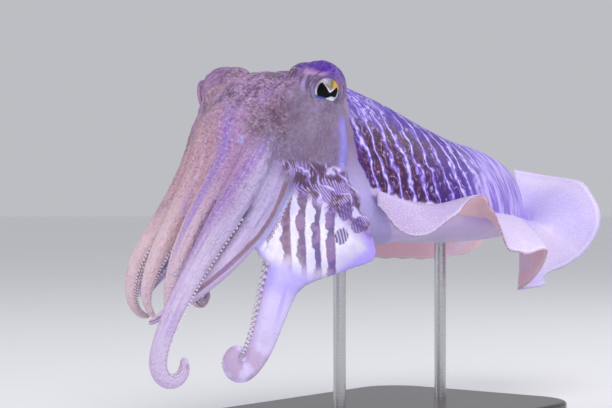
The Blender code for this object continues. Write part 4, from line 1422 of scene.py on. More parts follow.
@dataclass
class Fin:
    """One fin: its width, its rise above level and its sweep back, along its root."""

    name: str
    side: int
    stations: Numbers
    widths: Numbers
    rises: Numbers
    sweeps: Numbers
    start: float = 0.09
    end: float = 0.99
    root_thick: float = 3.4
    edge_thick: float = 0.8
    hinge: float = 2.8
    arch: float = 30.0
    crowding: float = 1.35
    rings: int = 190
    strips: int = 16
    sunk: float = 2.5
    near: float = 0.01
    ruffle: float = 0.35
    ruffle_pace: float = 0.55
    shoulder: float = 0.6
    thinning: float = 1.2
    rim_share: float = 0.6

    def grid(self, mantle: Mantle) -> np.ndarray:
        """Points of the fin's middle surface.

        Args:
            mantle: The mantle that it grows from.

        Returns:
            Rows along the fin line, each from the root out to the edge.
        """
        width = Profile(self.stations, self.widths)
        rise, sweep = Profile(self.stations, self.rises), Profile(self.stations, self.sweeps)
        rows = []
        for number, t in enumerate(1.0 - np.linspace(1.0, 0.0, self.rings) ** self.crowding):
            station = self.start + (self.end - self.start) * t
            middle = mantle.fin_line(station)
            ahead, behind = station - self.near, station + self.near
            taper = mantle.half_width(ahead) - mantle.half_width(behind)
            off = math.atan2(taper / (2 * self.near), mantle.length())
            off_skin = np.array([math.cos(off), math.sin(off), 0.0])
            place = np.array([mantle.half_width(station), mantle.y_at(station, middle), middle])
            row = [place - off_skin * self.sunk, place, place + off_skin * self.hinge]
            turn = math.radians(sweep(t))
            outward = np.array([math.cos(turn), math.sin(turn), 0.0])
            for j in range(self.strips):
                part = (j + 0.5) / self.strips
                lift = math.radians(rise(t) + self.arch * (0.5 - part))
                slope = outward * math.cos(lift) + np.array([0.0, 0.0, math.sin(lift)])
                row.append(row[-1] + slope * width(t) / self.strips)
            ruffle = self.ruffle * math.sin(number * self.ruffle_pace)
            row[-1] = row[-1] + np.array([0.0, 0.0, ruffle])
            rows.append([(self.side * p[0], p[1], p[2]) for p in row])
        return np.array(rows)

    def thickness(self) -> np.ndarray:
        """How thick the fin is from root to edge.

        Returns:
            The thickness at each column of the grid.
        """
        outer = np.linspace(1.0, 0.0, self.strips + 1) ** self.thinning
        outer = self.edge_thick + (self.root_thick - self.shoulder - self.edge_thick) * outer
        outer[-1] *= self.rim_share
        return np.concatenate([[self.root_thick, self.root_thick], outer])

    def build(self, mantle: Mantle) -> Piece:
        """The fin as a closed sheet."""
        return sheet(self.name, self.grid(mantle), self.thickness())

    def coordinates(self, mantle: Mantle, points: np.ndarray, normals: np.ndarray) -> np.ndarray:
        """Where points lie on the fin, for its finish.

        Args:
            mantle: The mantle that it grows from.
            points: Places on the fin in body millimetres.
            normals: The direction out of the surface at each.

        Returns:
            Distance along the fin line, share of the way out, and 1 above or -1 below.
        """
        grid = self.grid(mantle)
        rows, columns = grid.shape[:2]
        faces = []
        for i in range(rows - 1):
            for j in range(columns - 1):
                a, b = i * columns + j, (i + 1) * columns + j
                faces.append((a, b, b + 1, a + 1))
        tree = BVHTree.FromPolygons([Vector(p) for p in grid.reshape(-1, 3)], faces)
        made = np.zeros((len(points), 3))
        strips = columns - 1
        for k, (point, normal) in enumerate(zip(points, normals)):
            place, up, face, _ = tree.find_nearest(Vector(point))
            i, j = divmod(face, strips)
            a, b = Vector(grid[i, j]), Vector(grid[i, j + 1])
            part = min(max((place - a).dot(b - a) / (b - a).length_squared, 0.0), 1.0)
            out = min(max((j + part - 2.0) / (columns - 3.0), 0.0), 1.0)
            above = up.dot(Vector(normal)) * self.side
            made[k] = (i * mantle.length() / rows, out, 1.0 if above > 0 else -1.0)
        return made


@dataclass
class ArmShape:
    """Sizes of an arm's section along it: its breadth, and how far it stands out and in."""

    breadths: Numbers
    outers: Numbers
    inners: Numbers
    stations: Numbers = (0.0, 0.2, 0.32, 0.45, 0.6, 0.75, 0.88, 1.0)

    def __post_init__(self) -> None:
        """Makes the curves that the stations describe."""
        self.breadth = Profile(self.stations, self.breadths)
        self.outer = Profile(self.stations, self.outers)
        self.inner = Profile(self.stations, self.inners)


SLIM = ArmShape(
    breadths=(15.0, 14.0, 13.0, 11.5, 9.5, 7.2, 4.8, 2.0),
    outers=(7.5, 7.0, 6.5, 5.8, 4.8, 3.6, 2.4, 1.0),
    inners=(6.5, 6.0, 5.4, 4.6, 3.7, 2.8, 1.8, 0.9),
)
LONG = ArmShape(
    breadths=(15.0, 14.5, 13.0, 10.6, 8.6, 7.2, 6.4, 3.6),
    outers=(7.5, 7.0, 6.4, 5.2, 4.2, 3.8, 3.4, 1.8),
    inners=(6.5, 6.0, 5.2, 4.2, 3.4, 3.0, 2.8, 1.6),
)
KEELED = ArmShape(
    breadths=(16.0, 16.0, 15.0, 14.0, 12.0, 10.0, 8.0, 4.0),
    outers=(29.0, 39.0, 27.0, 10.0, 7.4, 6.0, 4.6, 2.0),
    inners=(7.0, 7.0, 6.8, 6.2, 5.2, 4.4, 3.6, 1.8),
)
BROAD = ArmShape(
    breadths=(16.0, 16.0, 15.0, 13.5, 11.0, 8.0, 5.0, 2.0),
    outers=(7.5, 7.0, 6.5, 5.8, 4.8, 3.6, 2.4, 1.0),
    inners=(6.5, 6.0, 5.4, 4.6, 3.7, 2.8, 1.8, 0.9),
)


@dataclass
class Crown:
    """The ring of eight arm roots, whose axis points forward and down."""

    centre: Triple = (0.0, -20.0, -30.0)
    tip: float = 50.0
    steps: int = 96

    def axis(self) -> Vector:
        """Forward along the crown."""
        tip = math.radians(self.tip)
        return Vector((0.0, -math.cos(tip), -math.sin(tip)))

    def radial(self, angle: float) -> Vector:
        """A direction out from the axis.

        Args:
            angle: Its angle in radians: 0 is up, a right angle left.

        Returns:
            The direction.
        """
        tip = math.radians(self.tip)
        up = Vector((0.0, -math.sin(tip), math.cos(tip)))
        return up * math.cos(angle) + Vector((1.0, 0.0, 0.0)) * math.sin(angle)


CROWN = Crown()


@dataclass
class Arm:
    """One arm: its root on the crown's ring, its bends and its shape."""

    name: str
    ring_angle: float
    ring_radius: float
    length: float
    pitches: Numbers
    yaws: Numbers
    shape: ArmShape
    free_from: float
    twist: float = 0.0
    sides: int = 26
    rings: int = 100
    root_rings: int = 12
    overlap: float = 0.012
    emerge: float = 0.2
    sunk: float = 1.6
    last: float = 0.985
    closing: Triple = (0.85, 0.6, 0.3)
    tip_push: float = 0.4
    keel_pinch: float = 1.4
    flatness: float = 0.7

    def __post_init__(self) -> None:
        """Walks along the arm and notes its place and directions at every step."""
        pitch = Profile((0.0, 0.3, 0.6, 0.8, 1.0), self.pitches)
        yaw = Profile((0.0, 0.35, 0.7, 1.0), self.yaws)
        out = CROWN.radial(math.radians(self.ring_angle))
        place = Vector(CROWN.centre) + out * self.ring_radius
        frames = []
        for i in range(CROWN.steps + 1):
            s = i / CROWN.steps
            p, w = math.radians(pitch(s)), math.radians(yaw(s))
            level = math.cos(p)
            forward = Vector((math.sin(w) * level, -math.cos(w) * level, -math.sin(p)))
            out = (out - forward * out.dot(forward)).normalized()
            out.rotate(Quaternion(forward, math.radians(self.twist) / CROWN.steps))
            frames.append((tuple(place), tuple(forward), tuple(out), tuple(forward.cross(out))))
            place += forward * self.length / CROWN.steps
        self.frames = np.array(frames)

    def frame(self, s: float) -> np.ndarray:
        """Where the arm is and how it lies.

        Args:
            s: Share of the way along it.

        Returns:
            Its place, and its forward, outward and sideways directions.
        """
        at = min(max(s, 0.0), 1.0) * CROWN.steps
        low = min(int(at), CROWN.steps - 1)
        return self.frames[low] + (self.frames[low + 1] - self.frames[low]) * (at - low)

    def ring(self, s: float, grow: float = 0.0) -> np.ndarray:
        """A cross-section, flat on the inner side that carries the suckers.

        Args:
            s: Share of the way along the arm.
            grow: How far outside the skin it lies.

        Returns:
            The points.
        """
        place, forward, out, side = self.frame(s)
        half = self.shape.breadth(s) / 2 + grow
        outer, inner = self.shape.outer(s) + grow, self.shape.inner(s) + grow
        pinch = max(0.0, 1.0 - self.keel_pinch * half / outer)
        a = 2 * math.pi * (np.arange(self.sides) + 0.5) / self.sides
        c, d = np.cos(a), np.sin(a)
        u = half * c * (1.0 - pinch * np.maximum(d, 0.0) ** 2)
        v = np.where(d > 0, outer * d, -inner * np.abs(d) ** self.flatness)
        return place + u[:, None] * side + v[:, None] * out

    def root(self) -> Piece:
        """The stretch inside the crown's flesh."""
        stations = np.linspace(0.0, self.free_from + self.overlap, self.root_rings)
        return loft("root", [self.ring(s) for s in stations])

    def free_length(self) -> Piece:
        """The free stretch, which rises smoothly out of the crown's flesh.

        Returns:
            The stretch, in body millimetres.
        """
        rings = []
        for s in np.linspace(self.emerge, self.last, self.rings):
            sunk = self.sunk * (1.0 - float(smooth_step(self.emerge, self.free_from, s)))
            rings.append(self.ring(s, -sunk))
        tip = self.ring(1.0)
        middle = tip.mean(axis=0)
        for share in self.closing:
            nudge = self.frame(1.0)[1] * (1.0 - share) * self.shape.breadth(1.0) * self.tip_push
            rings.append(middle + (tip - middle) * share + nudge)
        return loft(self.name, rings)


ARMS = (
    Arm("left_1", 20, 18, 103, (95, 50, 55, 74, 110), (3, 8, 6, -1), SLIM, 0.42),
    Arm("left_2", 62, 19, 143, (59, 49, 60, 78, 301), (16, 7, -9, -22), LONG, 0.36, twist=85),
    Arm("left_3", 105, 20.5, 106, (63, 52, 43, 38, 28), (8, 2, -10, -13), BROAD, 0.42),
    Arm("left_4", 130, 36, 111.5, (58, 63, 69, 42, -190), (-20, 14, 2, 0), KEELED, 0.45),
    Arm("right_1", -20, 18, 99, (79, 61, 55, 69, 153), (3, 2, 4, 0), SLIM, 0.42),
    Arm("right_2", -62, 19, 98, (79, 59, 52, 88, 185), (-12, -10, -1, -1), SLIM, 0.42),
    Arm("right_3", -105, 20, 82, (120, 70, 56, 113, 283), (-17, 14, 7, 2), SLIM, 0.42),
    Arm("right_4", -135, 34, 79, (42, 60, 30, 44, -106), (-36, -15, 10, 3), KEELED, 0.45),
)

FINS = (
    Fin(
        name="fin_left",
        side=1,
        stations=(0, 0.1, 0.2, 0.3, 0.4, 0.5, 0.56, 0.63, 0.7, 0.76, 0.85, 0.93, 0.97, 1),
        widths=(6, 15, 17, 18, 20, 30, 33, 35, 36, 36, 37, 40, 40, 34),
        rises=(-80, -80, -17, 22, 2, -37, -36, -28, -85, -52, -24, 16, 38, 64),
        sweeps=(0, 0, 0, 0, -30, -34, -33, -22, -20, 88, 60, 40, 42, 140),
    ),
    Fin(
        name="fin_right",
        side=-1,
        stations=(0, 0.15, 0.3, 0.45, 0.61, 0.7, 0.87, 0.93, 0.97, 1),
        widths=(6, 18, 20, 22, 27, 25, 24, 25, 27, 30),
        rises=(-60, -30, 10, -30, -74, -60, -57, -45, -20, 30),
        sweeps=(0, 0, 0, 0, 0, 0, 10, 40, 60, 60),
    ),
)


@dataclass
class Eye:
    """One eye, set forward in its dome, and the lid round its opening."""

    name: str
    side: int
    lean: float = -2.0
    apart: float = 27.0
    dome: float = 13.2
    radius: float = 9.5
    forward: float = 4.2
    turn: float = 54.5
    dip: float = 11.0
    lid_radius: float = 6.8
    lid_narrow: float = 0.9
    lid_thick: float = 1.2
    lid_heavier: float = 0.25
    lid_back: float = 0.4
    lid_sections: int = 72
    lid_sides: int = 14
    gap: float = 0.15
    bulge: float = 0.35
    bulge_spread: float = 22.0
    socket_segments: int = 64
    ball_segments: int = 96

    def middle(self) -> Vector:
        """The middle of the dome."""
        return Vector((self.lean + self.side * self.apart, 0.0, 0.0))

    def facing(self) -> Vector:
        """Where the eye looks.

        Returns:
            The direction.
        """
        turn, dip = math.radians(self.turn), math.radians(self.dip)
        level = math.cos(dip)
        return Vector((self.side * math.sin(turn) * level, -math.cos(turn) * level, -math.sin(dip)))

    def directions(self) -> tuple[Vector, Vector]:
        """The eye's own directions, square to its axis.

        Returns:
            Toward the tail, and upward.
        """
        facing = self.facing()
        back = Vector((0.0, 1.0, 0.0))
        back = (back - facing * back.dot(facing)).normalized()
        up = facing.cross(back) * self.side
        return back, up

    def centre(self) -> Vector:
        """The middle of the eyeball."""
        return self.middle() + self.facing() * self.forward

    def socket(self) -> Piece:
        """What is cut from the head for the eyeball."""
        radii = (self.radius + self.gap,) * 3
        return ball("socket", self.centre(), radii, self.socket_segments)

    def lid(self) -> Piece:
        """The rim of skin round the opening, thicker above than below.

        Returns:
            The rim, in body millimetres.
        """
        facing, (back, up) = self.facing(), self.directions()
        depth = math.sqrt(self.dome**2 - self.lid_radius**2)
        centre = self.middle() + facing * depth - back * self.lid_back
        points, faces = [], []
        sections, sides = self.lid_sections, self.lid_sides
        for i in range(sections):
            a = 2 * math.pi * i / sections
            radial = back * math.cos(a) * self.lid_narrow + up * math.sin(a)
            thick = self.lid_thick * (1.0 + self.lid_heavier * math.sin(a))
            k = (i + 1) % sections
            for j, b in enumerate(turns(sides)):
                out = self.lid_radius + thick * math.cos(b)
                points.append(tuple(centre + radial * out + facing * thick * math.sin(b)))
                n = (j + 1) % sides
                faces.append((i * sides + j, i * sides + n, k * sides + n, k * sides + j))
        return mesh_object("lid", points, faces)

    def build(self) -> Piece:
        """Builds the eyeball, with a slightly raised front.

        Returns:
            The eyeball in its place.
        """
        eye = ball(self.name + "_ball", self.centre(), (self.radius,) * 3, self.ball_segments)
        points = corners_of(eye)
        facing, (back, up) = self.facing(), self.directions()
        local = points - np.array(self.centre())
        u, v = local @ np.array(back), local @ np.array(up)
        depth = local @ np.array(facing)
        swell = self.bulge * np.exp(-((u**2 + v**2) / self.bulge_spread))
        lift = np.where(depth > 0, swell, 0.0)
        move_points(eye, points + lift[:, None] * np.array(facing))
        write_attribute(eye, "eye", np.stack([u, v, depth], axis=1))
        dress(eye, EyeFinish().material())
        seat(eye)
        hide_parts(self.name)
        return eye


EYES = (Eye("eye_left", 1), Eye("eye_right", -1, turn=72.0))


@dataclass
class Head:
    """The head, neck and the arms' shared bases as one smooth body."""

    lean: float = -2.0
    voxel: float = 1.05
    smoothing: int = 12
    web_reach: float = 0.34
    web_sag: float = 0.35
    deep_reach: float = 0.44
    deep_sag: float = 0.06
    web_thick: float = 4.0
    web_rows: int = 13
    web_columns: int = 9
    core_rings: tuple[Pair, ...] = ((-14, 16), (0, 18), (14, 16), (26, 11), (36, 4))
    core_sides: int = 24
    beyond: float = 6.0
    lane_share: float = 0.42
    lane_limit: float = 1.2
    limb_fade: Span = (1.1, 1.9)
    batch: int = 20000
    middle_forms: tuple = (
        ((-2.0, 0.0, -19.0), (29.0, 33.0, 27.5)),
        ((0.0, 20.0, -22.0), (25.0, 28.0, 24.0)),
        ((0.0, -20.0, -28.0), (25.0, 22.0, 22.0)),
    )
    side_forms: tuple = (
        ((27.6, -0.5, 0.0), (12.0, 12.0, 12.5)),
        ((20.0, -2.0, 3.8), (8.0, 9.0, 8.0)),
        ((20.0, 9.0, -9.0), (11.0, 12.0, 11.0)),
        ((19.0, -9.0, -7.5), (12.0, 12.0, 10.0)),
        ((26.0, 0.0, -14.0), (13.5, 14.0, 14.0)),
        ((27.0, -2.5, -10.0), (12.0, 11.0, 8.0)),
        ((25.5, -2.0, -27.0), (15.5, 18.0, 24.0)),
        ((34.0, 2.0, -43.0), (9.0, 9.0, 13.0)),
        ((39.0, 6.0, -50.0), (9.0, 7.0, 8.0)),
    )
    ridge: float = 0.4
    fold: float = 0.22
    fold_width: float = 2.6
    first_fold: float = 8.6
    folds_start: Span = (8.0, 9.0)
    folds_end: Span = (11.5, 15.5)
    folds_ahead: Span = (-3.0, 5.0)
    wart: float = 0.22

    def web(self, one: Arm, other: Arm, reach: float, sag: float) -> Piece:
        """A web between two neighbouring arms, its free edge curving in between them.

        Args:
            one: The first arm.
            other: The next arm.
            reach: How far along the arms it goes.
            sag: How deeply its edge curves in.

        Returns:
            The web, in body millimetres.
        """
        grid = []
        for t in np.linspace(0.0, 1.0, self.web_rows):
            row = []
            for k in np.linspace(0.0, 1.0, self.web_columns):
                s = reach * (1.0 - sag * math.sin(math.pi * k)) * t
                a, b = one.frame(s)[0], other.frame(s)[0]
                row.append(a + (b - a) * k)
            grid.append(row)
        return sheet("web", np.array(grid), np.full(self.web_columns, self.web_thick))

    def core(self) -> Piece:
        """What fills the middle of the crown, where the arms meet round the mouth.

        Returns:
            The filling, in body millimetres.
        """
        rings = []
        for depth, radius in self.core_rings:
            middle = Vector(CROWN.centre) + CROWN.axis() * depth
            around = turns(self.core_sides)
            rings.append(np.array([tuple(middle + CROWN.radial(a) * radius) for a in around]))
        return loft("core", rings)

    def build(self) -> Piece:
        """Fuses all of it into one surface and smooths it.

        Returns:
            The head, in body millimetres.
        """
        pieces = [ball("form", Vector(place), radii) for place, radii in self.middle_forms]
        pieces.append(self.core())
        for side in (1, -1):
            for (apart, y, z), radii in self.side_forms:
                pieces.append(ball("form", Vector((self.lean + side * apart, y, z)), radii))
        pieces += [arm.root() for arm in ARMS]
        ordered = sorted(ARMS, key=lambda arm: arm.ring_angle)
        for one, other in zip(ordered, ordered[1:]):
            deep = other.name == "left_4"
            reach = self.deep_reach if deep else self.web_reach
            sag = self.deep_sag if deep else self.web_sag
            pieces.append(self.web(one, other, reach, sag))
        head = join(pieces)
        head.name = "head_flesh"
        remesh = head.modifiers.new("one skin", "REMESH")
        remesh.mode = "VOXEL"
        remesh.voxel_size = self.voxel
        smooth = head.modifiers.new("smooth", "SMOOTH")
        smooth.iterations = self.smoothing
        smooth.factor = 0.5
        apply_modifiers(head)
        points = corners_of(head)
        move_points(head, points + corners_of(head, "normal") * self.relief(points)[:, None])
        return head

    def relief(self, points: np.ndarray) -> np.ndarray:
        """How far the skin swells: ridges along the arms, folds before the eyes and warts.

        Args:
            points: Places on the smooth head in body millimetres.

        Returns:
            A height in millimetres for each.
        """
        lane, along, limb = self.flow(points)[0].T
        on_arms = smooth_step(-4.0, 16.0, along)
        height = self.ridge * np.cos(2 * math.pi * lane) * on_arms * (1.0 - 0.6 * limb)
        for eye in EYES:
            depth = math.sqrt(eye.dome**2 - eye.lid_radius**2)
            away = points - np.array(eye.middle() + eye.facing() * depth)
            ring = np.linalg.norm(away, axis=1)
            shown = smooth_step(*self.folds_start, ring)
            shown = shown * (1.0 - smooth_step(*self.folds_end, ring))
            back = away @ np.array(eye.directions()[0])
            shown *= 1.0 - smooth_step(*self.folds_ahead, back)
            wave = np.cos((ring - self.first_fold) * 2 * math.pi / self.fold_width)
            height += self.fold * wave * shown
        rough = [noise.noise(Vector(p) * 0.55) + 0.6 * noise.noise(Vector(p) * 1.2) for p in points]
        return height + self.wart * np.array(rough)

    def flow(self, points: np.ndarray) -> tuple[np.ndarray, np.ndarray]:
        """How the markings run over the head and down the arms.

        Args:
            points: Places on the flesh in body millimetres.

        Returns:
            Two arrays: the lane round the crown, distance along and how far a point
            belongs to an arm; and s along that arm, height out of its middle and whether
            it has a keel. A lane's whole number is an arm's middle, and its half a groove.
        """
        from_centre = points - np.array(CROWN.centre)
        axis, up = np.array(CROWN.axis()), np.array(CROWN.radial(0.0))
        ordered = sorted(ARMS, key=lambda arm: arm.ring_angle)
        angle = np.degrees(np.arctan2(from_centre[:, 0], from_centre @ up))
        lane = np.interp(angle, [arm.ring_angle for arm in ordered], range(len(ordered)))
        along = from_centre @ axis
        best = np.full(len(points), 1e9)
        reach, outward, keel = np.zeros(len(points)), np.zeros(len(points)), np.zeros(len(points))
        arm_lane, arm_along = lane.copy(), along.copy()
        steps = np.arange(CROWN.steps + 1) / CROWN.steps
        for number, arm in enumerate(ordered):
            half = arm.shape.breadth.many(steps) / 2
            outer, inner = arm.shape.outer.many(steps), arm.shape.inner.many(steps)
            for start in range(0, len(points), self.batch):
                part = slice(start, start + self.batch)
                away = points[part, None, :] - arm.frames[None, :, 0, :]
                near = np.argmin((away**2).sum(axis=2), axis=1)
                local = points[part] - arm.frames[near, 0]
                u = (local * arm.frames[near, 3]).sum(axis=1) / half[near]
                beside = np.clip(u, -self.lane_limit, self.lane_limit) * self.lane_share
                out = (local * arm.frames[near, 2]).sum(axis=1)
                v = np.where(out > 0, out / outer[near], out / inner[near])
                w = (local * arm.frames[near, 1]).sum(axis=1) / self.beyond
                size = np.sqrt(u**2 + v**2 + w**2)
                closer = size < best[part]
                for target, value in (
                    (best, size),
                    (reach, steps[near]),
                    (outward, out),
                    (keel, np.full(len(size), float(arm.shape is KEELED))),
                    (arm_lane, number - beside),
                    (arm_along, steps[near] * arm.length),
                ):
                    target[part] = np.where(closer, value, target[part])
        limb = 1.0 - smooth_step(*self.limb_fade, best)
        lane = lane + (arm_lane - lane) * limb
        along = along + (arm_along - along) * limb
        flow = np.stack([lane, along, limb], axis=1)
        return flow, np.stack([reach * limb, outward, keel * limb], axis=1)


@dataclass
class Suckers:
    """Four staggered rows of cups on each arm's inner side, smaller toward the tip."""

    radius: float = 0.088
    spacing: float = 0.21
    asides: Numbers = (-0.72, -0.26, 0.26, 0.72)
    first: float = 0.3
    last: float = 0.985
    outer_smaller: float = 0.2
    variation: Span = (0.9, 1.08)
    lean: float = 0.75
    raised: float = 0.25
    roundness: float = 0.35
    seed: int = 5
    stem_sides: int = 9
    stem_radius: float = 0.62
    stem_height: float = 1.4
    flare_height: float = 0.35
    flare: float = 1.6
    rim_width: float = 0.3
    rim_height: float = 0.06
    hollow_inset: float = 0.22
    hollow_depth: float = 0.3

    def cup(self) -> tuple[np.ndarray, np.ndarray]:
        """One sucker of radius 1 that opens along +Z, modelled once.

        Returns:
            Its corners and its triangles.
        """
        bpy.ops.mesh.primitive_cylinder_add(
            vertices=self.stem_sides, radius=self.stem_radius, depth=self.stem_height
        )
        cup = bpy.context.active_object
        bpy.ops.object.mode_set(mode="EDIT")
        bpy.ops.mesh.select_all(action="DESELECT")
        bm = bmesh.from_edit_mesh(cup.data)
        for face in bm.faces:
            face.select = face.normal.z > 0.9
        bmesh.update_edit_mesh(cup.data)
        flare_up = {"value": (0, 0, self.flare_height)}
        bpy.ops.mesh.extrude_region_move(TRANSFORM_OT_translate=flare_up)
        bpy.ops.transform.resize(value=(self.flare, self.flare, 1.0))
        bpy.ops.mesh.inset(thickness=self.rim_width)
        bpy.ops.transform.translate(value=(0, 0, self.rim_height))
        bpy.ops.mesh.inset(thickness=self.hollow_inset)
        bpy.ops.transform.translate(value=(0, 0, -self.hollow_depth))
        bpy.ops.mesh.quads_convert_to_tris()
        bpy.ops.object.mode_set(mode="OBJECT")
        cup.data.calc_loop_triangles()
        points = corners_of(cup)
        triangles = np.array([t.vertices[:] for t in cup.data.loop_triangles])
        bpy.data.objects.remove(cup, do_unlink=True)
        return points, triangles

    def placed(
        self, cup: np.ndarray, arm: Arm, s: float, aside: float, size: float
    ) -> np.ndarray:
        """Sets one sucker on an arm.

        Args:
            cup: The corners of a sucker of radius 1.
            arm: The arm that carries it.
            s: Share of the way along the arm.
            aside: How far to the side of the arm's middle, from -1 to 1.
            size: Its radius, in millimetres.

        Returns:
            Its corners, in body millimetres.
        """
        place, forward, out, side = arm.frame(s)
        u = arm.shape.breadth(s) / 2 * aside
        depth = (1.0 - aside**2) ** self.roundness
        foot = place + side * u - out * arm.shape.inner(s) * depth
        axis = side * self.lean * aside - out
        axis /= np.linalg.norm(axis)
        across = np.cross(forward, axis)
        across /= np.linalg.norm(across)
        turned = cup @ np.stack([across, np.cross(axis, across), axis])
        return foot + (turned + axis * self.raised) * size

    def build(self) -> Piece:
        """Builds every sucker of every arm as one piece.

        Returns:
            The suckers in their places.
        """
        cup, triangles = self.cup()
        draw = np.random.default_rng(self.seed)
        points, faces = [], []
        for arm in ARMS:
            s = self.first
            while s < self.last:
                breadth = arm.shape.breadth(s)
                for number, aside in enumerate(self.asides):
                    nudge = self.spacing * breadth / arm.length * (0.5 if number % 2 else 0.0)
                    size = self.radius * breadth * (1.0 - self.outer_smaller * abs(aside))
                    size = size * draw.uniform(*self.variation)
                    faces.append(triangles + len(cup) * len(points))
                    points.append(self.placed(cup, arm, s + nudge, aside, size))
                s += self.spacing * breadth / arm.length
        piece = mesh_object("suckers", np.concatenate(points), np.concatenate(faces))
        dress(piece, SuckerFinish().material())
        return seat(piece)


@dataclass
class Funnel:
    """The tapered tube that opens forward under the head."""

    back: Triple = (0.0, 32.0, -54.5)
    front: Triple = (0.0, -4.0, -57.0)
    radii: Numbers = (9.0, 8.5, 6.5, 5.0)
    flat: float = 0.75
    rings: int = 24
    sides: int = 40
    lip: Triple = (0.5, 1.2, 1.5)
    lip_ahead: float = 0.3
    mouth: float = 5.0

    def build(self) -> Piece:
        """Builds the tube, with a hollow mouth.

        Returns:
            The tube, in body millimetres.
        """
        back, front = np.array(self.back), np.array(self.front)
        around = turns(self.sides)
        level = np.zeros(self.sides)
        circle = np.stack([np.cos(around), level, np.sin(around) * self.flat], axis=1)
        radius = Profile(np.linspace(0.0, 1.0, len(self.radii)), self.radii)
        stations = np.linspace(0, 1, self.rings)
        rings = [back + (front - back) * t + circle * radius(t) for t in stations]
        ahead = (front - back) / np.linalg.norm(front - back)
        outer, middle, inner = (self.radii[-1] - thick for thick in self.lip)
        rings.append(front + circle * outer + ahead * self.lip_ahead)
        rings.append(front + circle * middle)
        rings.append(front + circle * inner - ahead * self.mouth)
        return loft("funnel", rings)


@dataclass
class Skin:
    """One skin over mantle, head, arms, fins and funnel."""

    flesh_nodes: Names = ("mantle", "head", "arm_crown", "funnel", "fin_left", "fin_right")
    search: float = 5.0
    tie: float = 1e-5

    def build(self, mantle: Mantle, head: Head) -> Piece:
        """The whole animal's surface, fused and dressed.

        Args:
            mantle: The mantle to fuse in.
            head: The head to fuse in.

        Returns:
            The skin.
        """
        body = mantle.build()
        flesh = head.build()
        log.info("head flesh %d faces", len(flesh.data.polygons))
        unite(flesh, [eye.lid() for eye in EYES])
        unite(flesh, [arm.free_length() for arm in ARMS])
        unite(flesh, [Funnel().build()])
        unite(flesh, [eye.socket() for eye in EYES], cut=True)
        fins = [fin.build(mantle) for fin in FINS]
        trees = [self.tree(obj) for obj in (body, flesh, *fins)]
        unite(body, [flesh, *fins])
        body.name = "skin"
        self.mark(body, trees, mantle, head)
        dress(body, MantleFinish().material(), LimbFinish().material(), FinFinish().material())
        for polygon, layer in zip(body.data.polygons, self.layers):
            polygon.material_index = layer
        seat(body)
        arms = [f"arm_{arm.name}_{part}" for arm in ARMS for part in ("upper", "tip")]
        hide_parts(*self.flesh_nodes, *arms)
        return body

    def tree(self, obj: Piece) -> BVHTree:
        """A search tree over the object's faces."""
        points = [vertex.co.copy() for vertex in obj.data.vertices]
        return BVHTree.FromPolygons(points, [tuple(p.vertices) for p in obj.data.polygons])

    def mark(self, body: Piece, trees: list, mantle: Mantle, head: Head) -> None:
        """Writes each corner's place on its form, and notes each face's layer.

        Args:
            body: The fused skin, in body millimetres.
            trees: Search trees of the mantle, the flesh and both fins.
            mantle: The mantle that gives its own places.
            head: The head that gives its own places.
        """
        points, normals = corners_of(body), corners_of(body, "normal")
        owner = np.zeros(len(body.data.polygons), int)
        for number, polygon in enumerate(body.data.polygons):
            centre = polygon.center
            best = 1e9
            for which, tree in enumerate(trees):
                distance = tree.find_nearest(centre, min(best, self.search))[3]
                if distance is not None and distance < best - self.tie:
                    best, owner[number] = distance, which
        self.layers = np.minimum(owner, Layer.FIN.value)
        write_attribute(body, "body", points)
        write_attribute(body, "mantle", mantle.coordinates(points))
        of_point = np.zeros(len(points), int)
        for number, polygon in enumerate(body.data.polygons):
            for corner in polygon.vertices:
                of_point[corner] = max(of_point[corner], owner[number])
        flow, limb = np.zeros((len(points), 3)), np.zeros((len(points), 3))
        limbs = [p for p, o in zip(body.data.polygons, owner) if o == Layer.LIMBS.value]
        flesh = np.unique([corner for polygon in limbs for corner in polygon.vertices])
        flow[flesh], limb[flesh] = head.flow(points[flesh])
        write_attribute(body, "flow", flow)
        write_attribute(body, "limb", limb)
        on_fin = np.zeros((len(points), 3))
        for number, fin in enumerate(FINS):
            mine = of_point == Layer.FIN.value + number
            on_fin[mine] = fin.coordinates(mantle, points[mine], normals[mine])
        write_attribute(body, "fin", on_fin)


@dataclass
class Stand:
    """The plate and rods, whose own solids stay and get their finishes."""

    plate: str = "stand_base"
    rods: Names = ("stand_rod_front", "stand_rod_rear")

    def dress(self) -> None:
        """Puts the wood and steel finishes on the stand's solids."""
        self.finish(self.plate, LacquerFinish().material())
        steel = SteelFinish().material()
        for rod in self.rods:
            self.finish(rod, steel)

    def finish(self, node: str, material: Material) -> None:
        """Gives a solid of the stand its material.

        Args:
            node: The solid's node.
            material: Its finish.
        """
        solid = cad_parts[node]
        for slot in solid.material_slots:
            slot.material = material


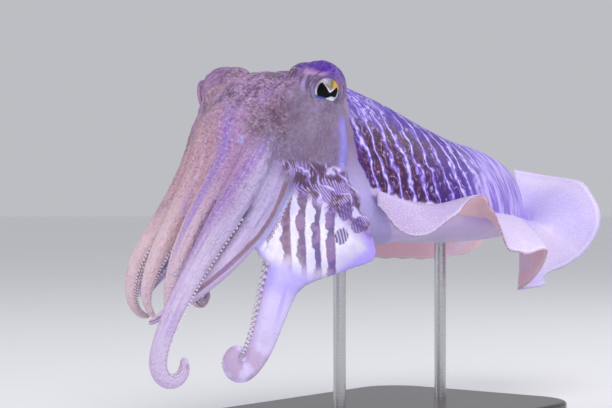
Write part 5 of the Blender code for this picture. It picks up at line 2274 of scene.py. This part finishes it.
@dataclass
class Studio:
    """A plain pale floor, soft lights and the camera at the photograph's angle."""

    width: float = 612.0
    focal: float = 1650.0
    azimuth: float = 38.0
    distance: float = 750.0
    aside: float = 13.6
    below: float = 51.5
    sensor: float = 36.0
    clip: Span = (0.01, 100.0)
    floor_size: float = 14.0
    floor_sides: int = 96
    lit: Triple = (0.0, 0.0, 0.12)
    lamps: tuple = (
        ("key", (0.75, -0.75, 1.0), 0.7, 8.5),
        ("fill", (-0.95, -0.75, 0.55), 0.9, 2.4),
        ("rim", (0.5, 0.9, 0.9), 0.6, 4.0),
    )
    sky: Colour = (0.82, 0.83, 0.88)
    sky_strength: float = 0.62
    pale: Colour = (0.93, 0.93, 0.95)
    toned: Colour = (0.90, 0.90, 0.92)

    def floor(self) -> None:
        """The floor under the stand."""
        bpy.ops.mesh.primitive_circle_add(
            vertices=self.floor_sides, radius=self.floor_size, fill_type="NGON"
        )
        floor = bpy.context.active_object
        floor.name = "floor"
        m = NodeMaker("pale floor")
        tone = m.noise(m.place(), 3.0, 2.0)
        m.set(Base_Color=m.mix(tone, self.pale, self.toned), Roughness=0.7)
        dress(floor, m.material)

    def lights(self) -> None:
        """Soft key, fill and rim lights, and a pale sky, shown as they are."""
        bpy.context.scene.view_settings.view_transform = "Standard"
        world = bpy.data.worlds.new("pale studio")
        bpy.context.scene.world = world
        world.use_nodes = True
        sky = world.node_tree.nodes["Background"]
        sky.inputs["Color"].default_value = (*self.sky, 1.0)
        sky.inputs["Strength"].default_value = self.sky_strength
        for name, place, size, power in self.lamps:
            lamp = bpy.data.lights.new(name, "AREA")
            lamp.shape, lamp.size, lamp.energy = "DISK", size, power
            holder = bpy.data.objects.new(name, lamp)
            bpy.context.scene.collection.objects.link(holder)
            holder.location = place
            aim = Vector(self.lit) - Vector(place)
            holder.rotation_euler = aim.to_track_quat("-Z", "Y").to_euler()

    def camera(self) -> None:
        """The camera, level, at the photograph's angle."""
        turn = math.radians(self.azimuth)
        right = Vector((math.cos(turn), math.sin(turn), 0.0))
        ahead = Vector((-math.sin(turn), math.cos(turn), 0.0))
        place = Vector(BODY.eyes) - ahead * self.distance + right * self.aside
        place.z -= self.below
        data = bpy.data.cameras.new("camera")
        data.sensor_width = self.sensor
        data.lens = self.focal / self.width * data.sensor_width
        data.clip_start, data.clip_end = self.clip
        camera = bpy.data.objects.new("camera", data)
        bpy.context.scene.collection.objects.link(camera)
        camera.location = place * MM
        camera.rotation_euler = ahead.to_track_quat("-Z", "Y").to_euler()
        bpy.context.scene.camera = camera


def main() -> None:
    """Builds the model piece by piece."""
    logging.basicConfig(level=logging.INFO, format="%(message)s")
    skin = Skin().build(Mantle(), Head())
    log.info("skin: %d faces", len(skin.data.polygons))
    for eye in EYES:
        made = eye.build()
        log.info("%s: %d faces", made.name, len(made.data.polygons))
    suckers = Suckers().build()
    log.info("suckers: %d faces", len(suckers.data.polygons))
    Stand().dress()
    log.info("stand dressed")
    studio = Studio()
    studio.floor()
    studio.lights()
    studio.camera()


if __name__ == "__main__":
    main()
